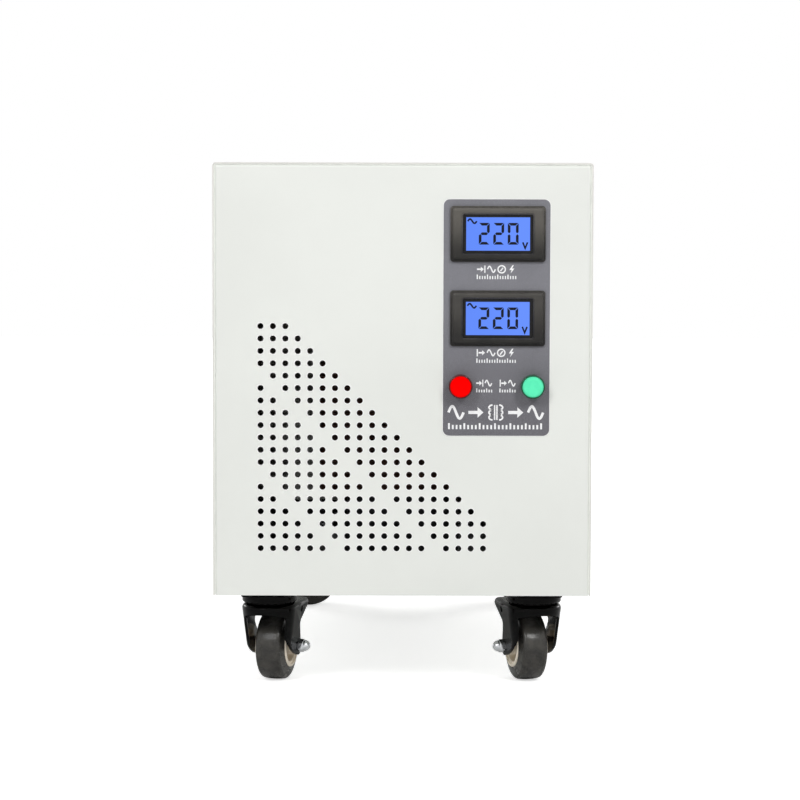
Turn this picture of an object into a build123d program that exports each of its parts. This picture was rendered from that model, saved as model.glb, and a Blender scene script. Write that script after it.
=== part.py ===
from build123d import *
import os
from math import pi, radians, sin

# Three-phase dry type transformer in a vented steel cabinet that stands on four swivel casters.
# Millimetres, +Z up, the front faces -Y and +X is to the right of someone who faces it.
# The origin is on the floor, under the centre of the overall box.

# ---- cabinet ----
cabinet_width = 306.0
cabinet_height = 350.0
cabinet_depth = 520.0
skin = 1.2                  # sheet of the cover and of the two panels
cover_bend = 3.0            # outside radius of the cover's folds
panel_bend = 2.4            # outside radius of the front panel's folds
panel_flange = 14.0         # how far the front panel's edges run back
rear_flange = 14.0          # how far the cover's rear edges turn in
rear_inset = 1.0            # cover's outline to the rear panel's edge
corner_slit = 0.4           # left open where two folded edges meet
slide_gap = 0.3             # between the cover and what it slides over
tray_skin = 2.0
tray_bend = 3.0
tray_flange = 20.0

# ---- round holes in the front ----
vent_hole = 4.9
vent_pitch = 10.0
vent_rows = 19
vent_columns = 19
vent_left = 38.6            # cabinet side to the first column
vent_low = 38.6             # cabinet bottom to the lowest row
vent_step_start = 3         # holes in the top row of the stair
vent_bands = (4, 12)        # slanted bands that stay blank: row less column

# ---- slots in the sides, back and tray ----
slot_width = 5.0
slot_length = 70.0
slot_pitch = 13.0
slot_count = 9
side_slot_low = 60.0        # cabinet bottom to the lowest side slot
side_slot_banks = (-130.0, 130.0)
rear_slot_low = 170.0
rear_slot_banks = (-37.0, 37.0)   # behind the coils, so that nothing shows through
tray_slot_count = 5
tray_slot_banks = (-88.0, 88.0)

# ---- label plate, meters and lamps on the front ----
label_width = 85.7
label_height = 190.3
label_corner = 5.0
label_sheet = 0.5
label_side = 77.4           # cabinet's right side to the plate's centre line
label_drop = 29.2           # cabinet's top to the plate's upper edge
meter_names = ("upper", "lower")
meter_drop = (27.7, 95.5)   # plate's upper edge to each meter's centre
meter_shift = 0.8           # right of the plate's centre line
bezel_width = 76.4
bezel_height = 44.8
bezel_corner = 2.4
bezel_flange = 1.8          # thickness of the flange that lies on the label plate
bezel_proud = 5.2
bezel_step = 1.5            # from the flange's edge to the raised frame
bezel_round = 2.6
moulded_corner = 1.0        # of the meter's window and of its body
window_width = 56.2
window_height = 31.2
window_bevel = 1.2
display_gap = 0.3
display_sheet = 2.4
display_sunk = 2.2          # from the frame's face down to the display
meter_body_width = 70.4
meter_body_height = 38.4
meter_body_depth = 24.0     # behind the panel's face
cutout_gap = 0.3
clip_width = 12.0
clip_length = 11.0
clip_thickness = 3.0
lamp_names = ("red", "green")
lamp_drop = 150.2           # plate's upper edge to the lamps' centres
lamp_shift = 0.2            # right of the plate's centre line
lamp_pitch = 58.2
lamp_head = 19.2
lamp_proud = 9.6
lamp_rim = 1.1
lamp_dish = 0.8             # depth of the face inside the rim
lamp_crown = 0.7            # how far the face bulges from the dish's floor
lamp_body = 16.0
lamp_depth = 30.0
lamp_nut_flats = 20.0
lamp_nut_height = 4.0
lamp_pin = (0.8, 4.0, 6.0)

# ---- swivel casters ----
wheel_diameter = 57.4
tyre_width = 24.6
tread_width = 21.4          # where the side walls turn into the tread
tyre_shoulder = 3.6
tyre_crown = 0.5
hub_rim = 36.0              # diameter where the tyre is bonded on
hub_width = 27.0
hub_boss = 15.0
hub_boss_width = 32.8
hub_web = 9.0
bond_gap = 0.04
axle = 6.0
running_gap = 0.06          # radial, between a turning part and its pin
caster_trail = 20.0
caster_inset = 45.0         # swivel axis to the cabinet's front or back
caster_side_inset = 43.8    # swivel axis to the cabinet's side
wheel_clearance = 9.8       # top of the fork to the top of the tyre
plate_size = (46.0, 62.0)
plate_sheet = 2.3
plate_corner = 6.0
plate_holes = (34.0, 49.0)
cup = 45.0
cup_sheet = 1.5
cup_depth = 9.1
cup_teeth = 24
cup_lip = 2.3               # how far the crimped lip reaches in under the fork's race
race = 30.0                 # diameter of the ball circle
ball = 4.4
ball_count = 12
ball_gap = 0.3
race_gap = 0.3
race_sunk = 0.2             # how deep the balls lie in the sheet above and below
crown_gap = 0.6             # cup's edge to the top of the fork
race_sheet = 1.8
kingpin = 8.0
kingpin_head = 14.0
kingpin_head_height = 3.0
fork_head = 46.4            # width of the fork across its shoulders
fork_sheet = 2.2
fork_shoulder = 4.0
fork_tip = 38.0             # width of the fork across the axle
fork_waist = 5.0            # above the axle, where the legs stop closing in
fork_boss = 8.0
fork_rear = 36.5
fork_rear_depth = 5.0
fork_neck = (18.0, 18.0)    # leg's narrow rear edge: behind the swivel axis, below the top of the fork
fork_knee = (-8.5, 18.0)    # leg's front edge: behind the swivel axis, above the foot
fork_sweep = 41.0           # radius of the leg's front edge from knee to foot
fork_edge_round = 4.0       # of the leg's outline
apron_front = 7.6           # below the top of the fork, in front
apron_depth = 12.0          # below the top of the fork, where the apron turns into the legs
apron_reach = 10.0          # from the swivel axis forward to where the apron turns into the legs
apron_corner = 5.0
brake_hole = 5.0
brake_hole_y = 18.5
brake_hole_drop = 7.5       # below the top of the fork
caster_names = ("front_left", "front_right", "rear_left", "rear_right")
caster_turn = (15.0, -15.0, 80.0, 30.0)    # from straight back towards +X
caster_nut_side = (1, -1, 1, -1)

# ---- fasteners ----
m4 = 4.0
m4_head = 8.0
m4_head_height = 2.4
m4_length = 8.0
m6 = 6.0
m6_flats = 10.0
m6_head_height = 4.0
m6_nut_height = 5.0
button_head = 11.0          # low round head with a hexagon socket
button_height = 2.0
button_socket = (4.0, 1.2)  # across its flats, and its depth
m8 = 8.0
m8_flats = 13.0
m8_head_height = 5.3
m8_nut_height = 6.5
thread_gap = 0.05
bolt_hole_gap = 0.2
bolt_end = 1.5              # thread that stands out of a nut
acorn_length = 10.0

# ---- core, coils and clamps ----
limb = 60.0
window_span = 60.0
window_rise = 170.0
core_stack = 90.0
core_lift = 12.0            # tray to the core
coil_gap = 0.5
coil_build = 27.0
coil_height = 166.0
coil_cheek = 3.0
coil_cheek_lip = 2.0
coil_corner = 14.0
clamp_sheet = 3.0
clamp_web = 52.0
clamp_foot = 35.0
clamp_corner = 4.0
foot_bolt_inset = 15.0      # clamp's end to the foot bolt
foot_bolt_x = 22.0          # clamp's web to the foot bolt

# ---- rear fittings and terminals ----
grommet_bore = 22.0
grommet_hole = 32.0
grommet_flange = 40.0
grommet_length = 10.0
grommet_lip = 1.6           # thickness of each flange
grommet_gap = 0.1
grommet_x = 60.0
grommet_z = 70.0
earth_x = 0.0
earth_z = 40.0
earth_proud = 20.0
earth_collar = 4.0          # hexagon outside the panel, of one piece with the stud
block_ways = 8
block_pitch = 17.0
block_depth = 30.0
block_height = 22.0
block_wall = 2.0
block_wall_height = 12.0
block_rib_drop = 4.0        # middle rib below the barriers
block_ear = 12.0
block_ear_height = 6.0
block_ear_inset = 6.0
wire_clamp = (10.0, 1.6)    # side and sheet of the plates that hold the wires
wire_screw_head = (7.2, 2.0)
wire_screw_slot = (0.9, 0.6)
wire_screw_length = 4.0

# ---- what follows from those ----
wheel_radius = wheel_diameter / 2
fork_top = plate_sheet + cup_depth + crown_gap
axle_drop = fork_top + wheel_clearance + wheel_radius
floor_gap = axle_drop + wheel_radius
half_width = cabinet_width / 2
caster_spread = cabinet_width - 2 * caster_side_inset
front_reach = label_sheet + lamp_proud
face_y = -(cabinet_depth + earth_proud - front_reach) / 2
back_y = face_y + cabinet_depth
centre_y = (face_y + back_y) / 2
bottom = floor_gap
top = bottom + cabinet_height
tray_half = half_width - skin - slide_gap
tray_top = bottom + tray_skin
label_face = face_y - label_sheet
label_x = half_width - label_side
label_top = top - label_drop
meter_x = label_x + meter_shift
meter_z = [label_top - drop for drop in meter_drop]
lamp_x = [label_x + lamp_shift + side * lamp_pitch / 2 for side in (-1, 1)]
lamp_z = label_top - lamp_drop
caster_y = (face_y + caster_inset, face_y + caster_inset, back_y - caster_inset, back_y - caster_inset)
caster_x = (-caster_spread / 2, caster_spread / 2, -caster_spread / 2, caster_spread / 2)
plate_hole_at = [(sx * plate_holes[0] / 2, sy * plate_holes[1] / 2) for sx in (-1, 1) for sy in (-1, 1)]
limb_pitch = limb + window_span
limb_at = [centre_y + i * limb_pitch for i in (-1, 0, 1)]
core_bottom = tray_top + core_lift
core_length = 3 * limb + 2 * window_span
core_height = window_rise + 2 * limb
core_top = core_bottom + core_height
clamp_length = core_length
clamp_bolt_z = (core_bottom + limb / 2, core_top - limb / 2)
clamp_bolt_y = [centre_y + s * limb_pitch for s in (-1, 0, 1)]
foot_bolt_y = clamp_length / 2 - foot_bolt_inset
foot_at = [(sx * (core_stack / 2 + clamp_sheet + foot_bolt_x), centre_y + sy * foot_bolt_y)
           for sx in (-1, 1) for sy in (-1, 1)]
block_width = block_ways * block_pitch + block_wall
block_y = back_y - caster_inset
cover_screw_z = bottom + tray_flange / 2 + tray_skin / 2
cover_screw_y = [centre_y + s * (cabinet_depth / 2 - caster_inset) for s in (-1.0, -0.34, 0.34, 1.0)]
rear_screw_x = half_width - rear_flange / 2
rear_screw_at = [(side * rear_screw_x, bottom + share * cabinet_height) for side in (-1, 1)
                 for share in (0.15, 0.5, 0.85)]
rear_screw_at += [(side * half_width / 2, top - rear_flange / 2) for side in (-1, 1)]
rear_screw_at += [(side * half_width / 2, cover_screw_z) for side in (-1, 1)]
block_screw_at = [(s * (block_width + block_ear) / 2, block_y) for s in (-1, 1)]


def slab(x0, x1, y0, y1, z0, z1):
    """A box given by its two corners."""
    middle = Pos((x0 + x1) / 2, (y0 + y1) / 2, (z0 + z1) / 2)
    return middle * Box(x1 - x0, y1 - y0, z1 - z0)


def drill(x, y, z, diameter, length, along="Z"):
    """A cylinder centred on a point, for making a hole along X, Y or Z."""
    turn = {"X": Rot(0, 90, 0), "Y": Rot(90, 0, 0), "Z": Rot(0, 0, 0)}[along]
    return Pos(x, y, z) * turn * Cylinder(diameter / 2, length)


def turned(profile):
    """A solid of revolution about Z from (radius, height) points."""
    face = Plane.XZ * make_face(Polyline(*profile, close=True))
    return revolve(face, Axis.Z)


def hexagon(flats, height):
    """A hexagonal prism that stands on the XY plane, with its corners turned off as on a nut."""
    prism = extrude(RegularPolygon(flats / 2, 6, major_radius=False), height)
    crown = Pos(0, 0, height / 2) * Cylinder(flats / 2 * 1.1, height)
    return prism & chamfer(crown.edges().filter_by(GeomType.CIRCLE), flats * 0.06)


def round_bar(diameter, low, high):
    """A round bar on the Z axis between two heights."""
    return Pos(0, 0, (low + high) / 2) * Cylinder(diameter / 2, high - low)


def nut(flats, height, thread):
    """A hexagon nut that stands on the XY plane."""
    return hexagon(flats, height) - Pos(0, 0, height / 2) * Cylinder(thread / 2 + thread_gap, height + 2)


def bolt(thread, flats, head_height, length):
    """A hexagon bolt: the head hangs below the XY plane and the shank rises above it."""
    return Pos(0, 0, -head_height) * hexagon(flats, head_height) + round_bar(thread, 0, length)


def slots(plane, centres, count, low, reach):
    """Rows of round-ended slots, drawn on a plane and cut through to both sides of it."""
    places = [Pos(x, low + i * slot_pitch) for x in centres for i in range(count)]
    sketch = Sketch() + [place * SlotOverall(slot_length, slot_width) for place in places]
    return extrude(plane * sketch, reach, both=True)


# ---- cabinet ----

def rounded_shell(side, y0, y1, z0, z1, upper, edges, end):
    """A slab with its two upper corners rounded, and then all but the lowest edge of one end."""
    shell = slab(-side, side, y0, y1, z0, z1)
    shell = fillet(shell.edges().filter_by(Axis.Y).group_by(Axis.Z)[-1], upper)
    face = shell.faces().sort_by(Axis.Y)[end]
    return fillet(face.edges().sort_by(Axis.Z)[1:], edges)


def corner_slits(side, upper, y, length):
    """Narrow mitre cuts where folded edges meet in a sheet's two upper corners."""
    blade = Box(corner_slit, length, 3 * panel_flange)
    return [Pos(s * side, y, upper) * Rot(0, 45 * s, 0) * blade for s in (-1, 1)]


def wrap_cover():
    """Top and both sides folded from one sheet, with its rear edges turned in for the rear panel."""
    rear = back_y - skin
    wall = half_width - skin
    bend = cover_bend - skin
    cover = rounded_shell(half_width, face_y, rear, bottom, top, cover_bend, cover_bend, -1)
    cover -= rounded_shell(wall, face_y - 1, rear - skin, bottom - 1, top - skin, bend, bend, -1)
    window = half_width - rear_flange
    cover -= slab(-window, window, rear - 2 * skin, rear + 1, bottom - 1, top - rear_flange)
    notch = bottom + tray_flange + slide_gap
    cover -= slab(-half_width - 1, half_width + 1, rear - cover_bend, rear + 1, bottom - 1, notch)
    cover -= corner_slits(half_width, top, rear, 2 * skin)
    banks = [centre_y + y for y in side_slot_banks]
    cover -= slots(Plane.YZ, banks, slot_count, bottom + side_slot_low, cabinet_width)
    for y in cover_screw_y:
        cover -= drill(0, y, cover_screw_z, m4 + bolt_hole_gap * 2, cabinet_width + 2, "X")
    return cover - rear_screw_holes()


def rear_screw_holes():
    """Clearance holes of the rear panel's screws, through the panel and what carries it."""
    return [drill(x, back_y, z, m4 + bolt_hole_gap * 2, 2 * m4_length, "Y") for x, z in rear_screw_at]


def folded_panel():
    """A flat face whose two sides and top are folded back, clear of the tray's upturned edge."""
    side = half_width - skin - slide_gap
    upper = top - skin - slide_gap
    corner = cover_bend - skin
    back = face_y + panel_flange
    pan = rounded_shell(side, face_y, back, bottom - 1, upper, corner, panel_bend, 0)
    pan -= rounded_shell(side - skin, face_y + skin, back + 1, bottom - 2, upper - skin, corner / 2,
                         panel_bend - skin, 0)
    pan -= slab(-side - 1, side + 1, face_y - 1, back, bottom - 2, bottom)
    pan -= slab(-side - 1, side + 1, face_y + skin, back, bottom - 1, bottom + tray_flange + slide_gap)
    return pan - corner_slits(side, upper, back, 2 * (panel_flange - panel_bend))


def vent_places():
    """Centres of the round holes: a stair that rises to the left, less two slanted blank bands."""
    places = []
    for row in range(vent_rows):
        for column in range(min(row + vent_step_start, vent_columns)):
            if row - column not in vent_bands:
                x = -half_width + vent_left + column * vent_pitch
                z = bottom + vent_low + (vent_rows - 1 - row) * vent_pitch
                places.append((x, z))
    return places


def label_openings(reach):
    """What is cut out behind the meters and the lamps, through label plate and panel alike."""
    width = meter_body_width + 2 * cutout_gap
    height = meter_body_height + 2 * cutout_gap
    sketch = Sketch()
    for z in meter_z:
        sketch += Pos(meter_x, z) * Rectangle(width, height)
    for x in lamp_x:
        sketch += Pos(x, lamp_z) * Circle(lamp_body / 2 + cutout_gap)
    return Pos(0, face_y, 0) * extrude(Plane.XZ * sketch, reach, both=True)


def front_panel():
    """Front sheet with its stair of round holes and the openings for the instruments."""
    holes = Sketch() + [Pos(x, z) * Circle(vent_hole / 2) for x, z in vent_places()]
    cut = Pos(0, face_y, 0) * extrude(Plane.XZ * holes, 2 * skin, both=True)
    return folded_panel() - cut - label_openings(2 * skin)


def rear_panel():
    """Flat rear sheet with slots, two cable entries and the hole of the earth stud."""
    side = half_width - rear_inset
    panel = slab(-side, side, back_y - skin, back_y, bottom, top - rear_inset)
    panel = fillet(panel.edges().filter_by(Axis.Y).group_by(Axis.Z)[-1], cover_bend)
    vents = slots(Plane.XZ, rear_slot_banks, slot_count, bottom + rear_slot_low, 2 * skin)
    panel -= Pos(0, back_y, 0) * vents
    for x in (-grommet_x, grommet_x):
        panel -= drill(x, back_y, bottom + grommet_z, grommet_hole + 2 * thread_gap, 4 * skin, "Y")
    panel -= drill(earth_x, back_y, bottom + earth_z, m6 + 2 * bolt_hole_gap, 4 * skin, "Y")
    return panel - rear_screw_holes()


def base_tray():
    """Floor of the cabinet with its edges turned up, drilled for casters, core and terminals."""
    y0, y1 = face_y + skin, back_y - skin
    outer = slab(-tray_half, tray_half, y0, y1, bottom, bottom + tray_flange)
    outer = fillet(outer.faces().sort_by(Axis.Z)[0].edges(), tray_bend)
    wall = tray_half - tray_skin
    inner = slab(-wall, wall, y0 + tray_skin, y1 - tray_skin, tray_top, bottom + tray_flange + 1)
    inner = fillet(inner.faces().sort_by(Axis.Z)[0].edges(), tray_bend - tray_skin)
    tray = outer - inner
    for x, y in zip(caster_x, caster_y):
        for dx, dy in plate_hole_at:
            tray -= drill(x + dx, y + dy, bottom, m6 + 2 * bolt_hole_gap, 4 * tray_skin)
    for x, y in foot_at:
        tray -= drill(x, y, bottom, m8 + 2 * bolt_hole_gap, 4 * tray_skin)
    for x, y in block_screw_at:
        tray -= drill(x, y, bottom, m4 + 2 * bolt_hole_gap, 4 * tray_skin)
    for y in cover_screw_y:
        tray -= drill(0, y, cover_screw_z, m4 + 2 * bolt_hole_gap, cabinet_width, "X")
    low = centre_y - slot_pitch * (tray_slot_count - 1) / 2
    tray -= Pos(0, 0, bottom) * slots(Plane.XY, tray_slot_banks, tray_slot_count, low, 2 * tray_skin)
    return tray - rear_screw_holes()


def m4_screws():
    """Pan head screws of the cover, the rear panel and the terminal block."""
    radius = m4_head / 2
    head = Pos(0, 0, m4_head_height / 2) * Cylinder(radius, m4_head_height)
    head = fillet(head.edges().sort_by(Axis.Z)[-1], m4_head_height * 0.6)
    screw = head + Pos(0, 0, -m4_length / 2) * Cylinder(m4 / 2, m4_length)
    group = []
    for y in cover_screw_y:
        for side in (-1, 1):
            group.append(Pos(side * half_width, y, cover_screw_z) * Rot(0, 90 * side, 0) * screw)
    for x, z in rear_screw_at:
        group.append(Pos(x, back_y, z) * Rot(-90, 0, 0) * screw)
    for x, y in block_screw_at:
        group.append(Pos(x, y, tray_top + block_ear_height) * screw)
    return Compound(children=group)


def label_plate():
    """Thin plate behind the instruments, open where they pass through it."""
    outline = RectangleRounded(label_width, label_height, label_corner)
    plate = extrude(Plane.XZ * outline, label_sheet)
    return Pos(label_x, face_y, label_top - label_height / 2) * plate - label_openings(4 * label_sheet)


# ---- meters and lamps ----

def rounded_block(width, height, corner, back, front):
    """A block with rounded corners in the XZ plane, between two depths."""
    return Pos(0, back, 0) * extrude(Plane.XZ * RectangleRounded(width, height, corner), back - front)


def meter_housing(z):
    """Moulded meter case: a flange on the label plate, a raised frame and a body behind the panel."""
    flange = rounded_block(bezel_width, bezel_height, bezel_corner, 0, -bezel_flange)
    frame_width = bezel_width - 2 * bezel_step
    frame_height = bezel_height - 2 * bezel_step
    frame = rounded_block(frame_width, frame_height, bezel_corner, 0, -bezel_proud)
    frame = fillet(frame.faces().sort_by(Axis.Y)[0].edges(), bezel_round)
    depth = meter_body_depth + label_sheet
    body = rounded_block(meter_body_width, meter_body_height, moulded_corner, depth, 0)
    case = flange + frame + body
    floor = display_sunk + display_sheet - bezel_proud
    case -= rounded_block(window_width, window_height, moulded_corner, floor, -bezel_proud - 1)
    mouth = case.faces().sort_by(Axis.Y)[0].inner_wires()[0].edges()
    case = chamfer(mouth, window_bevel)
    return Pos(meter_x, label_face, z) * case


def meter_display(z):
    """Display module that lies at the bottom of the meter's window."""
    back = display_sunk + display_sheet - bezel_proud
    width = window_width - 2 * display_gap
    height = window_height - 2 * display_gap
    module = rounded_block(width, height, moulded_corner - display_gap, back, back - display_sheet)
    return Pos(meter_x, label_face, z) * module


def meter_clips():
    """Four wedges that hold the meters against the panel from behind."""
    foot, tip = clip_length / 4, clip_thickness * 0.4
    profile = Polyline((0, 0), (clip_thickness, 0), (clip_thickness, foot), (tip, clip_length),
                       (0, clip_length), close=True)
    clip = extrude(Plane.XY * make_face(profile), clip_width / 2, both=True)
    group = []
    for z in meter_z:
        for side in (-1, 1):
            x = meter_x + side * meter_body_width / 2
            turn = Rot(0, 0, 0) if side > 0 else Rot(0, 180, 0)
            group.append(Pos(x, face_y + skin, z) * turn * clip)
    return Compound(children=group)


def lamp_lens(x):
    """Lamp head: a short cap with a raised rim round a shallow dished face."""
    radius = lamp_head / 2
    cap = Pos(0, 0, lamp_proud / 2) * Cylinder(radius, lamp_proud)
    cap = fillet(cap.edges().sort_by(Axis.Z)[-1], lamp_rim * 0.7)
    dish = radius - lamp_rim
    cap -= Pos(0, 0, lamp_proud) * Cylinder(dish, 2 * lamp_dish)
    floor = lamp_proud - lamp_dish
    crown = make_face(Curve() + [Polyline((0, floor + lamp_crown), (0, floor - lamp_rim),
                                          (dish, floor - lamp_rim), (dish, floor)),
                                 ThreePointArc((dish, floor), (dish * 0.7, floor + lamp_crown * 0.51),
                                               (0, floor + lamp_crown))])
    cap += revolve(Plane.XZ * crown, Axis.Z)
    return Pos(x, label_face, lamp_z) * Rot(90, 0, 0) * cap


def lamp_holder(x):
    """Threaded lamp body behind the head, with two terminal pins at its end."""
    depth = lamp_depth + label_sheet
    stem = Pos(0, 0, depth / 2) * Cylinder(lamp_body / 2, depth)
    stem = chamfer(stem.edges().sort_by(Axis.Z)[-1], moulded_corner)
    for side in (-1, 1):
        stem += Pos(side * lamp_body / 5, 0, depth + lamp_pin[2] / 2) * Box(*lamp_pin)
    return Pos(x, label_face, lamp_z) * Rot(-90, 0, 0) * stem


def lamp_nuts():
    """Hexagon nuts that hold both lamps from behind the panel."""
    ring = nut(lamp_nut_flats, lamp_nut_height, lamp_body)
    group = [Pos(x, face_y + skin, lamp_z) * Rot(-90, 0, 0) * ring for x in lamp_x]
    return Compound(children=group)


# ---- swivel casters, drawn with the swivel axis on Z, the plate's top at Z = 0, trailing to +Y ----

cup_top = -plate_sheet
cup_bottom = cup_top - cup_depth
race_z = cup_top - cup_sheet - ball / 2 + race_sunk
flange_top = race_z - ball / 2 + race_sunk
flange_bottom = flange_top - race_sheet
cup_inner = cup / 2 - cup_sheet
flange_radius = cup_inner - race_gap
neck_radius = cup_inner - cup_lip - race_gap


def race_groove():
    """Ring that the balls run in, cut from the cup above and the fork below."""
    return Pos(0, 0, race_z) * Torus(race / 2, ball / 2 + ball_gap)


def caster_plate():
    """Top plate with its pressed cup, whose lip is crimped in teeth under the fork's race."""
    plate = extrude(RectangleRounded(*plate_size, plate_corner), -plate_sheet)
    for dx, dy in plate_hole_at:
        plate -= drill(dx, dy, -plate_sheet / 2, m6 + 2 * bolt_hole_gap, 2 * plate_sheet)
    bore = kingpin / 2 + running_gap
    outer = cup / 2
    lip = cup_inner - cup_lip
    lip_top = flange_bottom - race_gap
    shell = turned([
        (bore, cup_top), (outer - 2, cup_top), (outer - 0.6, cup_top - 0.6), (outer, cup_top - 2),
        (outer, lip_top), (outer - 0.5, cup_bottom + 0.7), (outer - 1.6, cup_bottom),
        (lip, cup_bottom), (lip, lip_top), (cup_inner, lip_top), (cup_inner, cup_top - cup_sheet),
        (bore, cup_top - cup_sheet)])
    shell -= race_groove()
    notch = Pos(outer - 0.4, 0, cup_bottom) * Rot(0, 90, 0) * Cylinder(pi * cup / cup_teeth * 0.24, 3)
    for i in range(cup_teeth):
        shell -= Rot(0, 0, (i + 0.5) * 360 / cup_teeth) * notch
    return plate - drill(0, 0, -plate_sheet / 2, 2 * bore, 2 * plate_sheet) + shell


def fork_block(inset):
    """The fork's outer or inner form: turned in front, drawn straight back behind the swivel axis."""
    head = fork_head / 2 - inset
    tip = fork_tip / 2 - inset
    upper = -fork_top - inset
    waist = -axle_drop + fork_waist
    lower = -axle_drop - fork_boss - 1 - inset
    half = make_face(Polyline((0, upper), (head, upper), (tip, waist), (tip, lower), (0, lower), close=True))
    corner = half.vertices().sort_by(Axis.X)[-1]
    half = fillet(corner, fork_shoulder - inset)
    nose = revolve(Plane.XZ * half, Axis.Z)
    leg = extrude(Plane.XZ * half, -fork_rear - 1 - inset)
    return nose + leg + mirror(leg, Plane.YZ)


def fork_outline():
    """The fork from the side: a high rear, a narrow neck, and a sweep from the apron down to the axle."""
    foot = -axle_drop - fork_boss
    apron_z = -fork_top - apron_depth
    rear_z = -fork_top - fork_rear_depth
    neck_y, neck_z = fork_neck[0], -fork_top - fork_neck[1]
    knee_y, knee_z = fork_knee[0], foot + fork_knee[1]
    heel = (caster_trail + fork_boss, -axle_drop)
    edge = [
        Polyline((knee_y, knee_z), (-apron_reach, apron_z), (-fork_head / 2, -fork_top - apron_front),
                 (-fork_head, -fork_top - apron_front), (-fork_head, 1), (fork_rear, 1),
                 (fork_rear, rear_z), (neck_y, neck_z), heel),
        RadiusArc(heel, (caster_trail, foot), fork_boss),
        RadiusArc((caster_trail, foot), (knee_y, knee_z), fork_sweep),
    ]
    face = make_face(Curve() + edge)
    for y, z, size in ((fork_rear, rear_z, fork_edge_round), (neck_y, neck_z, fork_edge_round),
                       (knee_y, knee_z, fork_edge_round), (-apron_reach, apron_z, apron_corner)):
        bend = min(face.vertices(), key=lambda v: abs(v.X - y) + abs(v.Y - z))
        face = fillet(bend, size)
    return face


def caster_fork():
    """Pressed fork: crown with its ball race, wrapped apron, and two legs that carry the axle."""
    shell = fork_block(0) - fork_block(fork_sheet)
    side = extrude(Plane.YZ * fork_outline(), fork_head, both=True)
    shell = shell & side
    for hole_y, hole_z, size in ((brake_hole_y, -fork_top - brake_hole_drop, brake_hole),
                                 (caster_trail, -axle_drop, axle + 2 * bolt_hole_gap)):
        shell -= drill(0, hole_y, hole_z, size, 2 * fork_head, "X")
    crown = turned([(0, -fork_top - fork_sheet / 2), (neck_radius, -fork_top - fork_sheet / 2),
                    (neck_radius, flange_bottom), (flange_radius, flange_bottom),
                    (flange_radius, flange_top), (0, flange_top)])
    shell = shell + (crown - race_groove())
    return shell - drill(0, 0, -fork_top, kingpin + 2 * running_gap, 4 * race)


def caster_kingpin():
    """Rivet that the fork swivels on, with its head under the crown."""
    seat = -fork_top - fork_sheet - race_gap
    low = seat - kingpin_head_height
    pin = kingpin / 2
    head = kingpin_head / 2
    return turned([(0, -0.3), (pin, -0.3), (pin, seat), (head, seat), (head, seat - 1),
                   (head * 0.7, low + 0.3), (head * 0.45, low), (0, low)])


def wheel_tyre():
    """Rubber tyre with slanted side walls, round shoulders and a slightly crowned tread."""
    bore = hub_rim / 2 + bond_gap
    side = tyre_width / 2
    tread = tread_width / 2
    flat = tread - tyre_shoulder
    rim = wheel_radius - tyre_crown
    outline = Curve() + [
        ThreePointArc((-flat, rim), (0, wheel_radius), (flat, rim)),
        RadiusArc((flat, rim), (tread, rim - tyre_shoulder), tyre_shoulder),
        Polyline((tread, rim - tyre_shoulder), (side, bore), (-side, bore), (-tread, rim - tyre_shoulder)),
        RadiusArc((-tread, rim - tyre_shoulder), (-flat, rim), tyre_shoulder),
    ]
    return revolve(make_face(outline), Axis.X)


def wheel_hub():
    """Moulded hub: a stepped rim that shows past the tyre, a thin web and a long boss."""
    rim = hub_rim / 2
    boss = hub_boss / 2
    steps = [(rim, hub_width / 2 - 0.7), (rim - 0.5, hub_width / 2), (rim - 2.2, hub_width / 2),
             (rim - 2.2, hub_width / 2 - 1.3), (rim - 4.4, hub_width / 2 - 1.3),
             (rim - 5.2, hub_web / 2), (boss + 0.6, hub_web / 2), (boss, hub_boss_width / 2),
             (axle / 2 + running_gap, hub_boss_width / 2)]
    profile = [(x, r) for r, x in steps] + [(-x, r) for r, x in reversed(steps)]
    return revolve(make_face(Polyline(*profile, close=True)), Axis.X)


def axle_bolt():
    """Hexagon bolt through both legs of the fork."""
    length = fork_tip + m6_nut_height
    return Pos(-fork_tip / 2, 0, 0) * Rot(0, 90, 0) * bolt(axle, m6_flats, m6_head_height, length)


def acorn_nut():
    """Domed cap nut on the axle bolt's end."""
    hex_height = acorn_length * 0.5
    dome = m6_flats * 0.46
    body = hexagon(m6_flats, hex_height)
    body += Pos(0, 0, hex_height) * Cylinder(dome, 1.2, align=(Align.CENTER, Align.CENTER, Align.MIN))
    body += Pos(0, 0, acorn_length - dome) * Sphere(dome)
    body -= Cylinder(axle / 2 + thread_gap, 2 * (m6_nut_height + 0.3))
    return Pos(fork_tip / 2, 0, 0) * Rot(0, 90, 0) * body


def caster_balls():
    """One ring of balls, loose between the cup and the fork."""
    ring = [Rot(0, 0, i * 360 / ball_count) * Pos(race / 2, 0, race_z) * Sphere(ball / 2)
            for i in range(ball_count)]
    return ring


def at_caster(index, shape):
    """Moves something drawn in a caster's own frame to its place under the cabinet."""
    place = Pos(caster_x[index], caster_y[index], bottom) * Rot(0, 0, -caster_turn[index])
    return place * shape


def at_wheel(index, shape):
    """The same for something drawn about the wheel's axle, with X along it."""
    flip = Rot(0, 0, 0) if caster_nut_side[index] > 0 else Rot(0, 0, 180)
    return at_caster(index, Pos(0, caster_trail, -axle_drop) * flip * shape)


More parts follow.
